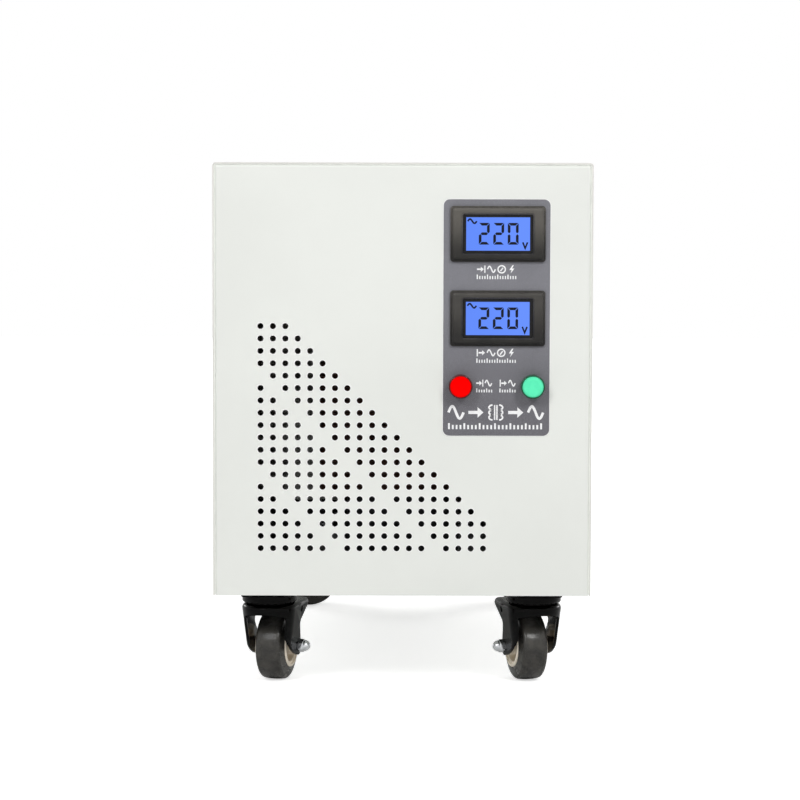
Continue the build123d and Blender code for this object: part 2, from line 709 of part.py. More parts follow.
def casters():
    """All nodes of the four casters."""
    plate, fork, pin = caster_plate(), caster_fork(), caster_kingpin()
    tyre, hub, bolt_piece, cap = wheel_tyre(), wheel_hub(), axle_bolt(), acorn_nut()
    balls, pins, nodes = [], [], {}
    for i, name in enumerate(caster_names):
        square = Pos(caster_x[i], caster_y[i], bottom)
        nodes[f"caster_{name}_plate"] = square * plate
        nodes[f"caster_{name}_fork"] = at_caster(i, fork)
        nodes[f"caster_{name}_axle"] = at_wheel(i, bolt_piece)
        nodes[f"caster_{name}_cap_nut"] = at_wheel(i, cap)
        nodes[f"caster_{name}_hub"] = at_wheel(i, hub)
        nodes[f"caster_{name}_tyre"] = at_wheel(i, tyre)
        pins.append(square * pin)
        balls += [square * one for one in caster_balls()]
    nodes["caster_kingpins"] = Compound(children=pins)
    nodes["caster_balls"] = Compound(children=balls)
    return nodes


def button_screw(thread, length):
    """A screw with a low round head that hangs below the XY plane, and a hexagon socket in it."""
    head = round_bar(button_head, -button_height, 0)
    head = fillet(head.edges().sort_by(Axis.Z)[0], button_height * 0.8)
    flats, depth = button_socket
    socket = extrude(RegularPolygon(flats / 2, 6, major_radius=False), depth)
    return head - Pos(0, 0, -button_height) * socket + round_bar(thread, 0, length)


def caster_bolts():
    """Sixteen low-headed screws up through the caster plates and the tray."""
    grip = plate_sheet + tray_skin + m6_nut_height + bolt_end
    one = button_screw(m6, grip)
    group = [Pos(x + dx, y + dy, bottom - plate_sheet) * one
             for x, y in zip(caster_x, caster_y) for dx, dy in plate_hole_at]
    return Compound(children=group)


def m6_nuts():
    """Nuts of the caster bolts inside the tray, and the earth stud's nut inside the rear panel."""
    one = nut(m6_flats, m6_nut_height, m6)
    group = [Pos(x + dx, y + dy, tray_top) * one
             for x, y in zip(caster_x, caster_y) for dx, dy in plate_hole_at]
    group.append(Pos(earth_x, back_y - skin, bottom + earth_z) * Rot(90, 0, 0) * one)
    return Compound(children=group)


def earth_stud():
    """Stud with a hexagon collar outside the rear panel, whose free end takes the earth wire."""
    inner = skin + m6_nut_height + bolt_end
    shank = round_bar(m6, -inner, earth_proud)
    return Pos(earth_x, back_y, bottom + earth_z) * Rot(-90, 0, 0) * (hexagon(m6_flats, earth_collar) + shank)


def cable_grommets():
    """Two rubber rings in the rear panel's cable entries."""
    bore, neck, flange = grommet_bore / 2, grommet_hole / 2, grommet_flange / 2
    out = (grommet_length - skin) / 2
    lip = skin / 2 + grommet_gap
    edge = lip + grommet_lip
    profile = [(bore, -out - skin / 2), (neck, -out - skin / 2), (flange, -edge), (flange, -lip),
               (neck, -lip), (neck, lip), (flange, lip), (flange, edge), (neck, out + skin / 2),
               (bore, out + skin / 2)]
    ring = turned(profile)
    group = [Pos(x, back_y - skin / 2, bottom + grommet_z) * Rot(90, 0, 0) * ring
             for x in (-grommet_x, grommet_x)]
    return Compound(children=group)


# ---- core and coils ----

def core():
    """Three-limb stack of laminations with bolt holes through both yokes."""
    half = core_stack / 2
    y0, y1 = centre_y - core_length / 2, centre_y + core_length / 2
    stack = slab(-half, half, y0, y1, core_bottom, core_top)
    for side in (-1, 1):
        y = centre_y + side * limb_pitch / 2
        stack -= slab(-half - 1, half + 1, y - window_span / 2, y + window_span / 2,
                      core_bottom + limb, core_top - limb)
    for z in clamp_bolt_z:
        for y in clamp_bolt_y:
            stack -= drill(0, y, z, m8 + 2 * bolt_hole_gap, core_stack + 2, "X")
    return stack


def coil(y):
    """One phase's windings on their former, dipped as one block, with a cheek at each end."""
    hole_x, hole_y = core_stack + 2 * coil_gap, limb + 2 * coil_gap
    wide_x, wide_y = hole_x + 2 * coil_build, hole_y + 2 * coil_build
    cheek = RectangleRounded(wide_x + 2 * coil_cheek_lip, wide_y + 2 * coil_cheek_lip, coil_cheek_lip)
    block = extrude(RectangleRounded(wide_x, wide_y, coil_corner), coil_height)
    block += extrude(cheek, coil_cheek)
    block += Pos(0, 0, coil_height - coil_cheek) * extrude(cheek, coil_cheek)
    block -= extrude(Rectangle(hole_x, hole_y), coil_height)
    return Pos(0, y, core_bottom + limb) * block


def clamp(side, upper):
    """Angle along one side of a yoke: a web against the core and a flange that turns outwards."""
    web = core_stack / 2
    y0, y1 = centre_y - clamp_length / 2, centre_y + clamp_length / 2
    low = core_top - limb + (limb - clamp_web) / 2 if upper else tray_top
    high = low + clamp_web
    shelf = high - clamp_sheet if upper else low
    bar = slab(web, web + clamp_sheet, y0, y1, low, high)
    bar += slab(web, web + clamp_foot, y0, y1, shelf, shelf + clamp_sheet)
    bar = fillet(bar.edges().filter_by(Axis.Z).group_by(Axis.X)[-1], clamp_corner)
    for y in clamp_bolt_y:
        bar -= drill(web, y, clamp_bolt_z[1 if upper else 0], m8 + 2 * bolt_hole_gap, 4 * clamp_sheet, "X")
    for x, y in foot_at:
        bar -= drill(abs(x), y, shelf, m8 + 2 * bolt_hole_gap, 4 * clamp_sheet)
    if side < 0:
        bar = mirror(bar, Plane.YZ)
    return bar


def clamp_bolts():
    """Long bolts through clamps and yokes."""
    grip = core_stack + 2 * clamp_sheet
    one = bolt(m8, m8_flats, m8_head_height, grip + m8_nut_height + bolt_end)
    group = [Pos(-grip / 2, y, z) * Rot(0, 90, 0) * one for z in clamp_bolt_z for y in clamp_bolt_y]
    return Compound(children=group)


def foot_bolts():
    """Bolts up through the tray and the lower clamps' feet."""
    one = bolt(m8, m8_flats, m8_head_height, tray_skin + clamp_sheet + m8_nut_height + bolt_end)
    return Compound(children=[Pos(x, y, bottom) * one for x, y in foot_at])


def m8_nuts():
    """Nuts of the clamp bolts and of the foot bolts."""
    one = nut(m8_flats, m8_nut_height, m8)
    face = core_stack / 2 + clamp_sheet
    group = [Pos(face, y, z) * Rot(0, 90, 0) * one for z in clamp_bolt_z for y in clamp_bolt_y]
    group += [Pos(x, y, tray_top + clamp_sheet) * one for x, y in foot_at]
    return Compound(children=group)


def terminal_screw_at():
    """Places of the terminal screws, two to a way."""
    rows = (-block_depth / 4, block_depth / 4)
    first = -(block_ways - 1) / 2
    return [((first + i) * block_pitch, block_y + dy) for i in range(block_ways) for dy in rows]


def terminal_block():
    """Moulded terminal block on the tray behind the coils, with a barrier between ways."""
    half = block_width / 2
    y0, y1 = block_y - block_depth / 2, block_y + block_depth / 2
    shelf = block_height - block_wall_height
    block = slab(-half, half, y0, y1, tray_top, tray_top + shelf)
    block += slab(-half - block_ear, half + block_ear, y0 + block_ear_inset, y1 - block_ear_inset,
                  tray_top, tray_top + block_ear_height)
    for i in range(block_ways + 1):
        x = -half + i * block_pitch
        block += slab(x, x + block_wall, y0, y1, tray_top, tray_top + block_height)
    block += slab(-half, half, block_y - block_wall / 2, block_y + block_wall / 2,
                  tray_top, tray_top + block_height - block_rib_drop)
    for x, y in block_screw_at:
        block -= drill(x, y, tray_top, m4 + 2 * bolt_hole_gap, 4 * block_ear_height)
    for x, y in terminal_screw_at():
        block -= drill(x, y, tray_top + shelf, m4 + 2 * thread_gap, shelf)
    return block


def terminal_screws():
    """Screws with square clamp plates, two to a way."""
    seat = tray_top + block_height - block_wall_height
    side, sheet = wire_clamp
    head, head_height = wire_screw_head
    groove, groove_depth = wire_screw_slot
    top_z = sheet + head_height
    one = Pos(0, 0, sheet / 2) * Box(side, side, sheet)
    one += round_bar(head, sheet, top_z) + round_bar(m4, -wire_screw_length, sheet)
    one -= Pos(0, 0, top_z) * Box(head + 1, groove, 2 * groove_depth)
    return Compound(children=[Pos(x, y, seat) * one for x, y in terminal_screw_at()])


def build():
    """Every node of the transformer by name."""
    nodes = {
        "wrap_cover": wrap_cover(),
        "front_panel": front_panel(),
        "rear_panel": rear_panel(),
        "base_tray": base_tray(),
        "m4_screws": m4_screws(),
        "label_plate": label_plate(),
        "meter_clips": meter_clips(),
        "lamp_nuts": lamp_nuts(),
        "caster_bolts": caster_bolts(),
        "m6_nuts": m6_nuts(),
        "earth_stud": earth_stud(),
        "cable_grommets": cable_grommets(),
        "core": core(),
        "clamp_bolts": clamp_bolts(),
        "foot_bolts": foot_bolts(),
        "m8_nuts": m8_nuts(),
        "terminal_block": terminal_block(),
        "terminal_screws": terminal_screws(),
    }
    for name, z in zip(meter_names, meter_z):
        nodes[f"meter_{name}_housing"] = meter_housing(z)
        nodes[f"meter_{name}_display"] = meter_display(z)
    for name, x in zip(lamp_names, lamp_x):
        nodes[f"lamp_{name}_lens"] = lamp_lens(x)
        nodes[f"lamp_{name}_holder"] = lamp_holder(x)
    for name, y in zip(("front", "middle", "rear"), limb_at):
        nodes[f"coil_{name}"] = coil(y)
    for level, upper in (("lower", False), ("upper", True)):
        for name, side in (("left", -1), ("right", 1)):
            nodes[f"clamp_{level}_{name}"] = clamp(side, upper)
    nodes.update(casters())
    return nodes


os.makedirs("parts", exist_ok=True)
for node, shape in build().items():
    export_step(shape, f"parts/{node}.step")
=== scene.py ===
import logging
import math
from collections.abc import Sequence
from dataclasses import dataclass, replace
from enum import Enum

import bmesh
import bpy
from mathutils import Matrix, Vector


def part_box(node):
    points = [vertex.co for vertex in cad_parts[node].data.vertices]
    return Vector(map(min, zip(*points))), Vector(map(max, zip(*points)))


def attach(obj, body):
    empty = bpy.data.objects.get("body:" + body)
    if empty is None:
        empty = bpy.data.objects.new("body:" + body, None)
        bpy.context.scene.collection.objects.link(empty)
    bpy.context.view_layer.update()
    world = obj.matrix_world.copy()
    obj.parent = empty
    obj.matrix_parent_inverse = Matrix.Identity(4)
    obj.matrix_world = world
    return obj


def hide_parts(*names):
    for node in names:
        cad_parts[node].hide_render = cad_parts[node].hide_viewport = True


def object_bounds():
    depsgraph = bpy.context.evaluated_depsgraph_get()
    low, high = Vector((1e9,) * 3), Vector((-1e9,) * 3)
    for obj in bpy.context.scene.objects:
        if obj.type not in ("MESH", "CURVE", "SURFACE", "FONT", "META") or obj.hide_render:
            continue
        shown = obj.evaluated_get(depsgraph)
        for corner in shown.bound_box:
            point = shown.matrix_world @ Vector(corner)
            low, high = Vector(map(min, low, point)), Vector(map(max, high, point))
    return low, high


# Looks, light and camera of a three-phase dry type transformer in a vented cabinet on casters.

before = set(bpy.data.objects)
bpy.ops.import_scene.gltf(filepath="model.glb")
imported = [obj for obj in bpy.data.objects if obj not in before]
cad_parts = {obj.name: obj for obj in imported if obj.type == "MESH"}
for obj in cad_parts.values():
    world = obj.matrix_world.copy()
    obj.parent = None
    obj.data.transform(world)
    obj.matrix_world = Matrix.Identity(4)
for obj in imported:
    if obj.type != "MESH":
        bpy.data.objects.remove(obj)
cad_low, cad_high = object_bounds()

MM = 0.001
WELD = 0.001 * MM               # points closer than this are one
SHARP_EDGE = 30.0               # degrees at which an edge of a piece stays sharp
ROUNDED_EDGE = 35.0             # degrees from which an edge of a CAD node is rounded
NOISE_LOW, NOISE_HIGH = 0.3, 0.7        # usual reach of a noise
TONE_LOW, TONE_HIGH = 0.32, 0.68        # noise over which one colour drifts to another
FINER = 1.7                     # how much finer the specks are than the grain
SPECK_EDGE, SPECK_SPREAD, SPECK_WIDTH = 0.78, 0.25, 0.08
EDGE_FLAT, EDGE_TURNED = 0.985, 0.86    # agreement of a normal with the rounded one
EDGE_GAPS = (0.35, 0.6)         # noise over which a rubbed edge is broken
DUST_FACING = (-0.4, 1.0, 0.15, 1.0)    # upward parts of the normal, and their shares of dust
DUST_PATCHES = (0.38, 0.7)      # noise over which dust lies in patches
LOOKS_FORWARD = -0.6            # part of the normal along Y below which a face looks forward
MITRE_LIMIT = 0.4               # least cosine of half a bend that a mitre allows for
HEAD_REACH = 0.45               # share of a screw's girth beyond which a point is on its head
LOG = logging.getLogger("transformer")

Pair = tuple[float, float]
Point = Pair
Path = list[Point]
Colour = tuple[float, float, float, float]
Socket = bpy.types.NodeSocket


def tint(*display: float) -> Colour:
    """Turns display values into the linear colour that the shaders take.

    Args:
        display: red, green and blue from 0 to 255.

    Returns:
        Linear red, green and blue, with an alpha of 1.
    """
    parts = [value / 255 for value in display]
    red, green, blue = (c / 12.92 if c <= 0.04045 else ((c + 0.055) / 1.055) ** 2.4 for c in parts)
    return (red, green, blue, 1.0)


# ---- shader nodes ----

class Graph:
    """A node tree with short calls that add and join its nodes."""

    def __init__(self, tree: bpy.types.NodeTree) -> None:
        """Starts from an empty tree."""
        self.tree = tree
        tree.nodes.clear()

    def add(self, kind: str, **settings: object) -> bpy.types.Node:
        """Adds a node.

        Args:
            kind: Blender's name of the node's type.
            settings: the node's properties by name.

        Returns:
            The new node.
        """
        node = self.tree.nodes.new(kind)
        for name, value in settings.items():
            setattr(node, name, value)
        return node

    def put(self, target: Socket, value: object) -> None:
        """Joins a socket to an input, or sets the input's own value.

        Args:
            target: the input.
            value: a socket to join, or a plain value.
        """
        if isinstance(value, bpy.types.NodeSocket):
            self.tree.links.new(value, target)
        else:
            target.default_value = value

    def make(self, kind: str, output: int | str, given: dict[int | str, object],
             **settings: object) -> Socket:
        """Adds a node with its inputs and takes one of its outputs.

        Args:
            kind: Blender's name of the node's type.
            output: which output is taken.
            given: sockets or plain values for its inputs, by name or index.
            settings: the node's properties by name.

        Returns:
            The output.
        """
        node = self.add(kind, **settings)
        for name, value in given.items():
            self.put(node.inputs[name], value)
        return node.outputs[output]

    def where(self) -> Socket:
        """Coordinates of the piece's own space, in metres."""
        return self.make("ShaderNodeTexCoord", "Object", {})

    def noise(self, scale: object, detail: float = 2.0, stretch: Vector | None = None) -> Socket:
        """Adds a noise over the piece's own space.

        Args:
            scale: features to a metre.
            detail: octaves of finer noise.
            stretch: factors along the three axes, or None.

        Returns:
            The noise, about 0.3 to 0.7.
        """
        place = self.where()
        if stretch is not None:
            place = self.make("ShaderNodeMapping", "Vector", {"Vector": place, "Scale": stretch})
        return self.make("ShaderNodeTexNoise", "Fac", {"Vector": place, "Scale": scale, "Detail": detail})

    def ramp(self, value: Socket, low: object, high: object, start: float = 0.0, end: float = 1.0) -> Socket:
        """Maps the stretch from low to high smoothly on to start to end, and holds it beyond."""
        given = {"Value": value, "From Min": low, "From Max": high, "To Min": start, "To Max": end}
        return self.make("ShaderNodeMapRange", "Result", given, interpolation_type="SMOOTHSTEP")

    def blend(self, share: object, first: object, second: object) -> Socket:
        """Mixes two colours by the share of the second."""
        return self.make("ShaderNodeMix", 2, {0: share, 6: first, 7: second}, data_type="RGBA")

    def calc(self, operation: str, first: object, second: object = 0.0) -> Socket:
        """Adds a sum on two numbers, by Blender's name of the operation."""
        return self.make("ShaderNodeMath", 0, {0: first, 1: second}, operation=operation)

    def normal(self) -> Socket:
        """The face's normal."""
        return self.make("ShaderNodeNewGeometry", "Normal", {})

    def axis(self, name: str, vector: Socket | None = None) -> Socket:
        """Takes X, Y or Z of a vector, or of the place in the piece's own space."""
        return self.make("ShaderNodeSeparateXYZ", name, {0: self.where() if vector is None else vector})

    def vary(self, noise: Socket, low: float, high: float) -> Socket:
        """Maps the usual reach of a noise on to a stretch of values."""
        return self.ramp(noise, NOISE_LOW, NOISE_HIGH, low, high)

    def bump(self, height: Socket, depth: float, strength: float = 1.0) -> Socket:
        """Turns heights from 0 to 1 into a normal; the depth of a height of 1 is in metres."""
        given = {"Strength": strength, "Distance": depth, "Height": height}
        return self.make("ShaderNodeBump", "Normal", given)


# ---- effects that several finishes share ----

class Group(Graph):
    """The tree of a node group between its inputs and its outputs."""

    def __init__(self, tree: bpy.types.NodeTree) -> None:
        """Adds the two ends.

        Args:
            tree: the group's tree.
        """
        super().__init__(tree)
        self.given = self.add("NodeGroupInput").outputs
        self.results = self.add("NodeGroupOutput").inputs

    def give(self, name: str, value: Socket) -> None:
        """Joins a socket to one of the group's outputs."""
        self.put(self.results[name], value)


@dataclass(frozen=True)
class Effect:
    """A shader node group that finishes place with their own values."""

    name: str
    inputs: tuple[tuple[str, str, object], ...]
    outputs: tuple[tuple[str, str], ...]

    def fill(self, graph: Group) -> None:
        """Adds the group's own nodes."""
        raise NotImplementedError(self.name)

    def group(self) -> bpy.types.NodeTree:
        """Finds the group, or makes it the first time.

        Returns:
            The node group.
        """
        found = bpy.data.node_groups.get(self.name)
        if found is not None:
            return found
        tree = bpy.data.node_groups.new(self.name, "ShaderNodeTree")
        for name, kind, value in self.inputs:
            socket = tree.interface.new_socket(name=name, in_out="INPUT", socket_type=kind)
            socket.default_value = value
        for name, kind in self.outputs:
            tree.interface.new_socket(name=name, in_out="OUTPUT", socket_type=kind)
        self.fill(Group(tree))
        return tree

    def mask(self, graph: Graph, **values: object) -> Socket:
        """Puts the group in a material and takes its mask."""
        return self.place(graph, **values).outputs["Mask"]

    def place(self, graph: Graph, **values: object) -> bpy.types.Node:
        """Puts the group in a material.

        Args:
            graph: the material's tree.
            values: inputs by name.

        Returns:
            The group node.
        """
        node = graph.add("ShaderNodeGroup", node_tree=self.group())
        for name, value in values.items():
            graph.put(node.inputs[name], value)
        return node


class GrainEffect(Effect):
    """Fine grain of paint, film and moulded plastic, with scattered specks."""

    def fill(self, graph: Group) -> None:
        """Adds a soft grain and sharp specks.

        Args:
            graph: the group's tree.
        """
        soft = graph.noise(graph.given["Scale"], detail=3.0)
        graph.give("Height", soft)
        fine = graph.noise(graph.calc("MULTIPLY", graph.given["Scale"], FINER), detail=0.0)
        edge = graph.calc("SUBTRACT", SPECK_EDGE, graph.calc("MULTIPLY", graph.given["Specks"], SPECK_SPREAD))
        graph.give("Speck", graph.ramp(fine, edge, graph.calc("ADD", edge, SPECK_WIDTH)))


class ToneEffect(Effect):
    """Slow drift between two close colours."""

    def fill(self, graph: Group) -> None:
        """Adds a large soft noise that mixes the colours.

        Args:
            graph: the group's tree.
        """
        drift = graph.ramp(graph.noise(graph.given["Scale"], detail=4.0), TONE_LOW, TONE_HIGH)
        graph.give("Color", graph.blend(drift, graph.given["First"], graph.given["Second"]))
        graph.give("Drift", drift)


class EdgeEffect(Effect):
    """Mask of sharp outer edges, where a coat is thin or rubbed, and where edge light and shade are painted.
    """

    def fill(self, graph: Group) -> None:
        """Compares the true normal with one rounded over the edges.

        Args:
            graph: the group's tree.
        """
        rounded = graph.make("ShaderNodeBevel", "Normal", {"Radius": graph.given["Radius"]}, samples=4)
        dot = graph.make("ShaderNodeVectorMath", "Value", {0: rounded, 1: graph.normal()},
                         operation="DOT_PRODUCT")
        edge = graph.ramp(dot, EDGE_FLAT, EDGE_TURNED)
        broken = graph.ramp(graph.noise(graph.given["Scale"], detail=3.0), *EDGE_GAPS)
        share = graph.calc("MULTIPLY", edge, broken)
        graph.give("Mask", graph.calc("MULTIPLY", share, graph.given["Amount"]))


class DustEffect(Effect):
    """Mask of dust that settles on upper faces, in uneven patches."""

    def fill(self, graph: Group) -> None:
        """Multiplies how far a face looks up by a patchy noise.

        Args:
            graph: the group's tree.
        """
        upward = graph.ramp(graph.axis("Z", graph.normal()), *DUST_FACING)
        patch = graph.ramp(graph.noise(graph.given["Scale"], detail=6.0), *DUST_PATCHES)
        share = graph.calc("MULTIPLY", upward, patch)
        graph.give("Mask", graph.calc("MULTIPLY", share, graph.given["Amount"]))


FLOAT, COLOUR = "NodeSocketFloat", "NodeSocketColor"
GRAIN = GrainEffect("surface grain", (("Scale", FLOAT, 1000.0), ("Specks", FLOAT, 0.5)),
                    (("Height", FLOAT), ("Speck", FLOAT)))
TONE = ToneEffect("colour drift", (("First", COLOUR, (1, 1, 1, 1)), ("Second", COLOUR, (1, 1, 1, 1)),
                                   ("Scale", FLOAT, 8.0)), (("Color", COLOUR), ("Drift", FLOAT)))
EDGE = EdgeEffect("edge mask for wear and painted light", (("Radius", FLOAT, 0.0005), ("Scale", FLOAT, 400.0),
                                   ("Amount", FLOAT, 0.5)), (("Mask", FLOAT),))
DUST = DustEffect("settled dust", (("Scale", FLOAT, 30.0), ("Amount", FLOAT, 0.3)), (("Mask", FLOAT),))


# ---- finishes ----

class Surface(Graph):
    """A material's tree round one Principled shader."""

    def __init__(self, tree: bpy.types.NodeTree) -> None:
        """Adds the shader and the output.

        Args:
            tree: the material's tree.
        """
        super().__init__(tree)
        shader = self.add("ShaderNodeBsdfPrincipled")
        self.put(self.add("ShaderNodeOutputMaterial").inputs["Surface"], shader.outputs["BSDF"])
        self.inputs = shader.inputs

    def set(self, name: str, value: object) -> None:
        """Joins a socket to one of the shader's inputs, or sets its value."""
        self.put(self.inputs[name], value)

    def rough(self, noise: Socket, middle: float, less: float, more: float) -> None:
        """Lets the roughness wander about a middle value."""
        self.set("Roughness", self.vary(noise, middle - less, middle + more))

    def relief(self, scale: float, specks: float, depth: float, strength: float = 0.5) -> bpy.types.Node:
        """Gives the shader a grained face.

        Args:
            scale: grains to a metre.
            specks: how many specks there are.
            depth: height of the grain, in metres.
            strength: share of the effect.

        Returns:
            The grain's node.
        """
        grain = GRAIN.place(self, Scale=scale, Specks=specks)
        self.set("Normal", self.bump(grain.outputs["Height"], depth, strength))
        return grain


PALE_DUST = tint(176, 170, 160)
# painted shade along the edges of moulded cases
PAINTED_EDGE_SHADE = tint(12, 12, 12)
BRIGHT_METAL = tint(236, 237, 238)
UNLIT_PANE = (0.004, 0.008, 0.03, 1.0)
DARK_GROOVE = (0.01, 0.01, 0.01, 1.0)


@dataclass(frozen=True)
class Finish:
    """What a surface is made of. Each kind fills in its own shader."""

    name: str

    def material(self) -> bpy.types.Material:
        """Finds the material, or makes it the first time.

        Returns:
            The material.
        """
        found = bpy.data.materials.get(self.name)
        if found is not None:
            return found
        made = bpy.data.materials.new(self.name)
        made.use_nodes = True
        self.shade(Surface(made.node_tree))
        return made

    def shade(self, graph: Surface) -> None:
        """Fills in the shader."""
        raise NotImplementedError(self.name)


@dataclass(frozen=True)
class TwoTone(Finish):
    """A finish whose colour drifts between two close ones."""

    base: Colour
    second: Colour

    def tone(self, graph: Surface, scale: float) -> bpy.types.Node:
        """Adds the drift, with so many features to a metre."""
        return TONE.place(graph, First=self.base, Second=self.second, Scale=scale)


@dataclass(frozen=True)
class PowderCoat(TwoTone):
    """Sprayed and baked powder with a faint orange peel; painted shade inside, painted highlights on edges.
    """

    # paler colour of the edges, a painted highlight
    edge: Colour
    # dark colour of the inner faces, painted shade
    painted_inner_shade: Colour
    low: tuple[float, float, float]
    high: tuple[float, float, float]
    # darker colour of faces that look forward, painted shade on the cover's rim
    rim: Colour | None = None
    roughness: float = 0.44

    def inside(self, graph: Graph) -> Socket:
        """Finds what lies inside the coated box, where shade is painted.

        Args:
            graph: the material's tree.

        Returns:
            Mask, 1 inside.
        """
        mask = None
        for name, low, high in zip("XYZ", self.low, self.high):
            away = graph.calc("ABSOLUTE", graph.calc("SUBTRACT", graph.axis(name), (low + high) / 2))
            within = graph.calc("LESS_THAN", away, (high - low) / 2)
            mask = within if mask is None else graph.calc("MULTIPLY", mask, within)
        return mask

    def shade(self, graph: Surface) -> None:
        """Adds drifting white, painted edge highlights, painted inner shade, orange peel and a varied sheen.

        Args:
            graph: the material's tree and shader.
        """
        tone = self.tone(graph, 7.0)
        # painted highlight: the edges are made paler than the coat
        edge = EDGE.mask(graph, Radius=0.0006, Scale=300.0, Amount=0.7)
        outside = graph.blend(edge, tone.outputs["Color"], self.edge)
        # painted shade: faces that look forward take the darker rim colour
        if self.rim:
            forward = graph.calc("LESS_THAN", graph.axis("Y", graph.normal()), LOOKS_FORWARD)
            outside = graph.blend(forward, outside, self.rim)
        # painted shade: the inner faces take a dark colour
        graph.set("Base Color", graph.blend(self.inside(graph), outside, self.painted_inner_shade))
        grain = graph.relief(scale=700.0, specks=0.3, depth=0.00005)
        graph.rough(grain.outputs["Height"], self.roughness, less=0.03, more=0.05)
        graph.set("Specular IOR Level", 0.35)


@dataclass(frozen=True)
class PrintedFilm(TwoTone):
    """Satin film with a fine metallic fleck."""

    fleck: Colour
    # under: colour of the painted shade towards the plate's bottom
    under: Colour
    painted_shade_low: float
    painted_shade_high: float

    def shade(self, graph: Surface) -> None:
        """Adds drifting grey, painted shade deepening downwards, bright flecks and a fine pebbled face.

        Args:
            graph: the material's tree and shader.
        """
        tone = self.tone(graph, 22.0)
        grain = graph.relief(scale=3600.0, specks=0.6, depth=0.00003)
        fleck = graph.calc("MULTIPLY", grain.outputs["Speck"], 0.5)
        painted_shade_share = graph.ramp(graph.axis("Z"), self.painted_shade_low, self.painted_shade_high, 1.0, 0.0)
        grey = graph.blend(painted_shade_share, tone.outputs["Color"], self.under)
        graph.set("Base Color", graph.blend(fleck, grey, self.fleck))
        graph.set("Roughness", graph.vary(grain.outputs["Height"], 0.4, 0.56))
        graph.set("Specular IOR Level", 0.3)


@dataclass(frozen=True)
class Ink(TwoTone):
    """Screen printed ink, slightly mottled."""

    roughness: float = 0.5

    def shade(self, graph: Surface) -> None:
        """Adds mottled ink with a soft face.

        Args:
            graph: the material's tree and shader.
        """
        tone = self.tone(graph, 400.0)
        graph.set("Base Color", tone.outputs["Color"])
        graph.set("Normal", graph.bump(tone.outputs["Drift"], depth=0.00002, strength=0.5))
        graph.set("Roughness", self.roughness)
        graph.set("Specular IOR Level", 0.2)


@dataclass(frozen=True)
class MouldedPlastic(TwoTone):
    """Injection moulded plastic with a spark-eroded grain."""

    roughness: float = 0.42
    grain: float = 1500.0
    gloss: float = 0.35
    dust: float = 0.12
    # edge paints the edges dark as shade; fade paints the top lighter and the bottom darker
    edge: float = 0.0
    fade: Pair | None = None

    def shade(self, graph: Surface) -> None:
        """Adds a grained face, a little dust, smoother worn edges, and painted light, shade and dark edges.

        Args:
            graph: the material's tree and shader.
        """
        # painted light and shade: lighter towards the top, darker towards the bottom
        if self.fade:
            rise = graph.ramp(graph.axis("Z"), *self.fade)
            drift = graph.calc("MULTIPLY", graph.noise(60.0, detail=2.0), 0.1)
            colour = graph.blend(graph.calc("ADD", rise, drift), self.second, self.base)
        else:
            colour = self.tone(graph, 60.0).outputs["Color"]
        # painted shade: a dark line along the edges
        if self.edge:
            line = EDGE.mask(graph, Radius=0.0013, Scale=300.0, Amount=self.edge)
            colour = graph.blend(line, colour, PAINTED_EDGE_SHADE)
        dust = DUST.mask(graph, Scale=90.0, Amount=self.dust)
        graph.set("Base Color", graph.blend(dust, colour, PALE_DUST))
        grain = graph.relief(scale=self.grain, specks=0.2, depth=0.00006)
        edge = EDGE.mask(graph, Radius=0.0007, Scale=500.0, Amount=0.12)
        rough = graph.vary(grain.outputs["Height"], self.roughness - 0.05, self.roughness + 0.07)
        graph.set("Roughness", graph.calc("SUBTRACT", rough, edge))
        graph.set("Specular IOR Level", self.gloss)


@dataclass(frozen=True)
class LitPane(Finish):
    """Backlit liquid crystal pane, brighter towards its lamp side."""

    low: Colour
    high: Colour
    low_edge: float
    high_edge: float

    def shade(self, graph: Surface) -> None:
        """Adds an even glow with a fine cell texture.

        Args:
            graph: the material's tree and shader.
        """
        rise = graph.ramp(graph.axis("X"), self.low_edge, self.high_edge)
        cells = graph.noise(2600.0, detail=0.0)
        glow = graph.blend(graph.calc("ADD", graph.calc("MULTIPLY", rise, 0.8),
                                      graph.calc("MULTIPLY", cells, 0.3)), self.low, self.high)
        graph.set("Emission Color", glow)
        graph.set("Emission Strength", 1.0)
        graph.set("Base Color", UNLIT_PANE)
        graph.set("Roughness", graph.vary(cells, 0.3, 0.36))
        graph.set("Specular IOR Level", 0.1)


@dataclass(frozen=True)
class LampPlastic(TwoTone):
    """Dyed translucent lamp cap."""

    glow: Colour
    strength: float
    roughness: float = 0.2
    gloss: float = 0.25

    def shade(self, graph: Surface) -> None:
        """Adds dyed plastic with an inner glow and a slightly wavy face.

        Args:
            graph: the material's tree and shader.
        """
        tone = self.tone(graph, 160.0)
        graph.set("Base Color", tone.outputs["Color"])
        graph.set("Emission Color", graph.blend(tone.outputs["Drift"], self.glow, self.base))
        graph.set("Emission Strength", self.strength)
        grain = graph.relief(scale=450.0, specks=0.1, depth=0.00003, strength=0.4)
        graph.rough(grain.outputs["Height"], self.roughness, less=0.04, more=0.06)
        graph.set("Specular IOR Level", self.gloss)


@dataclass(frozen=True)
class PlatedMetal(TwoTone):
    """Plated or turned bare metal, blotched and lightly scratched."""

    roughness: float = 0.3
    scratch: float = 0.12

    def shade(self, graph: Surface) -> None:
        """Adds blotches, fine tool lines and bright edges.

        Args:
            graph: the material's tree and shader.
        """
        tone = self.tone(graph, 260.0)
        edge = EDGE.mask(graph, Radius=0.0004, Scale=800.0, Amount=0.6)
        graph.set("Base Color", graph.blend(edge, tone.outputs["Color"], BRIGHT_METAL))
        graph.set("Metallic", 1.0)
        lines = graph.noise(900.0, detail=4.0, stretch=Vector((1.0, 1.0, 6.0)))
        graph.rough(lines, self.roughness, less=self.scratch * 0.5, more=self.scratch)
        graph.set("Normal", graph.bump(lines, depth=0.00002, strength=0.5))


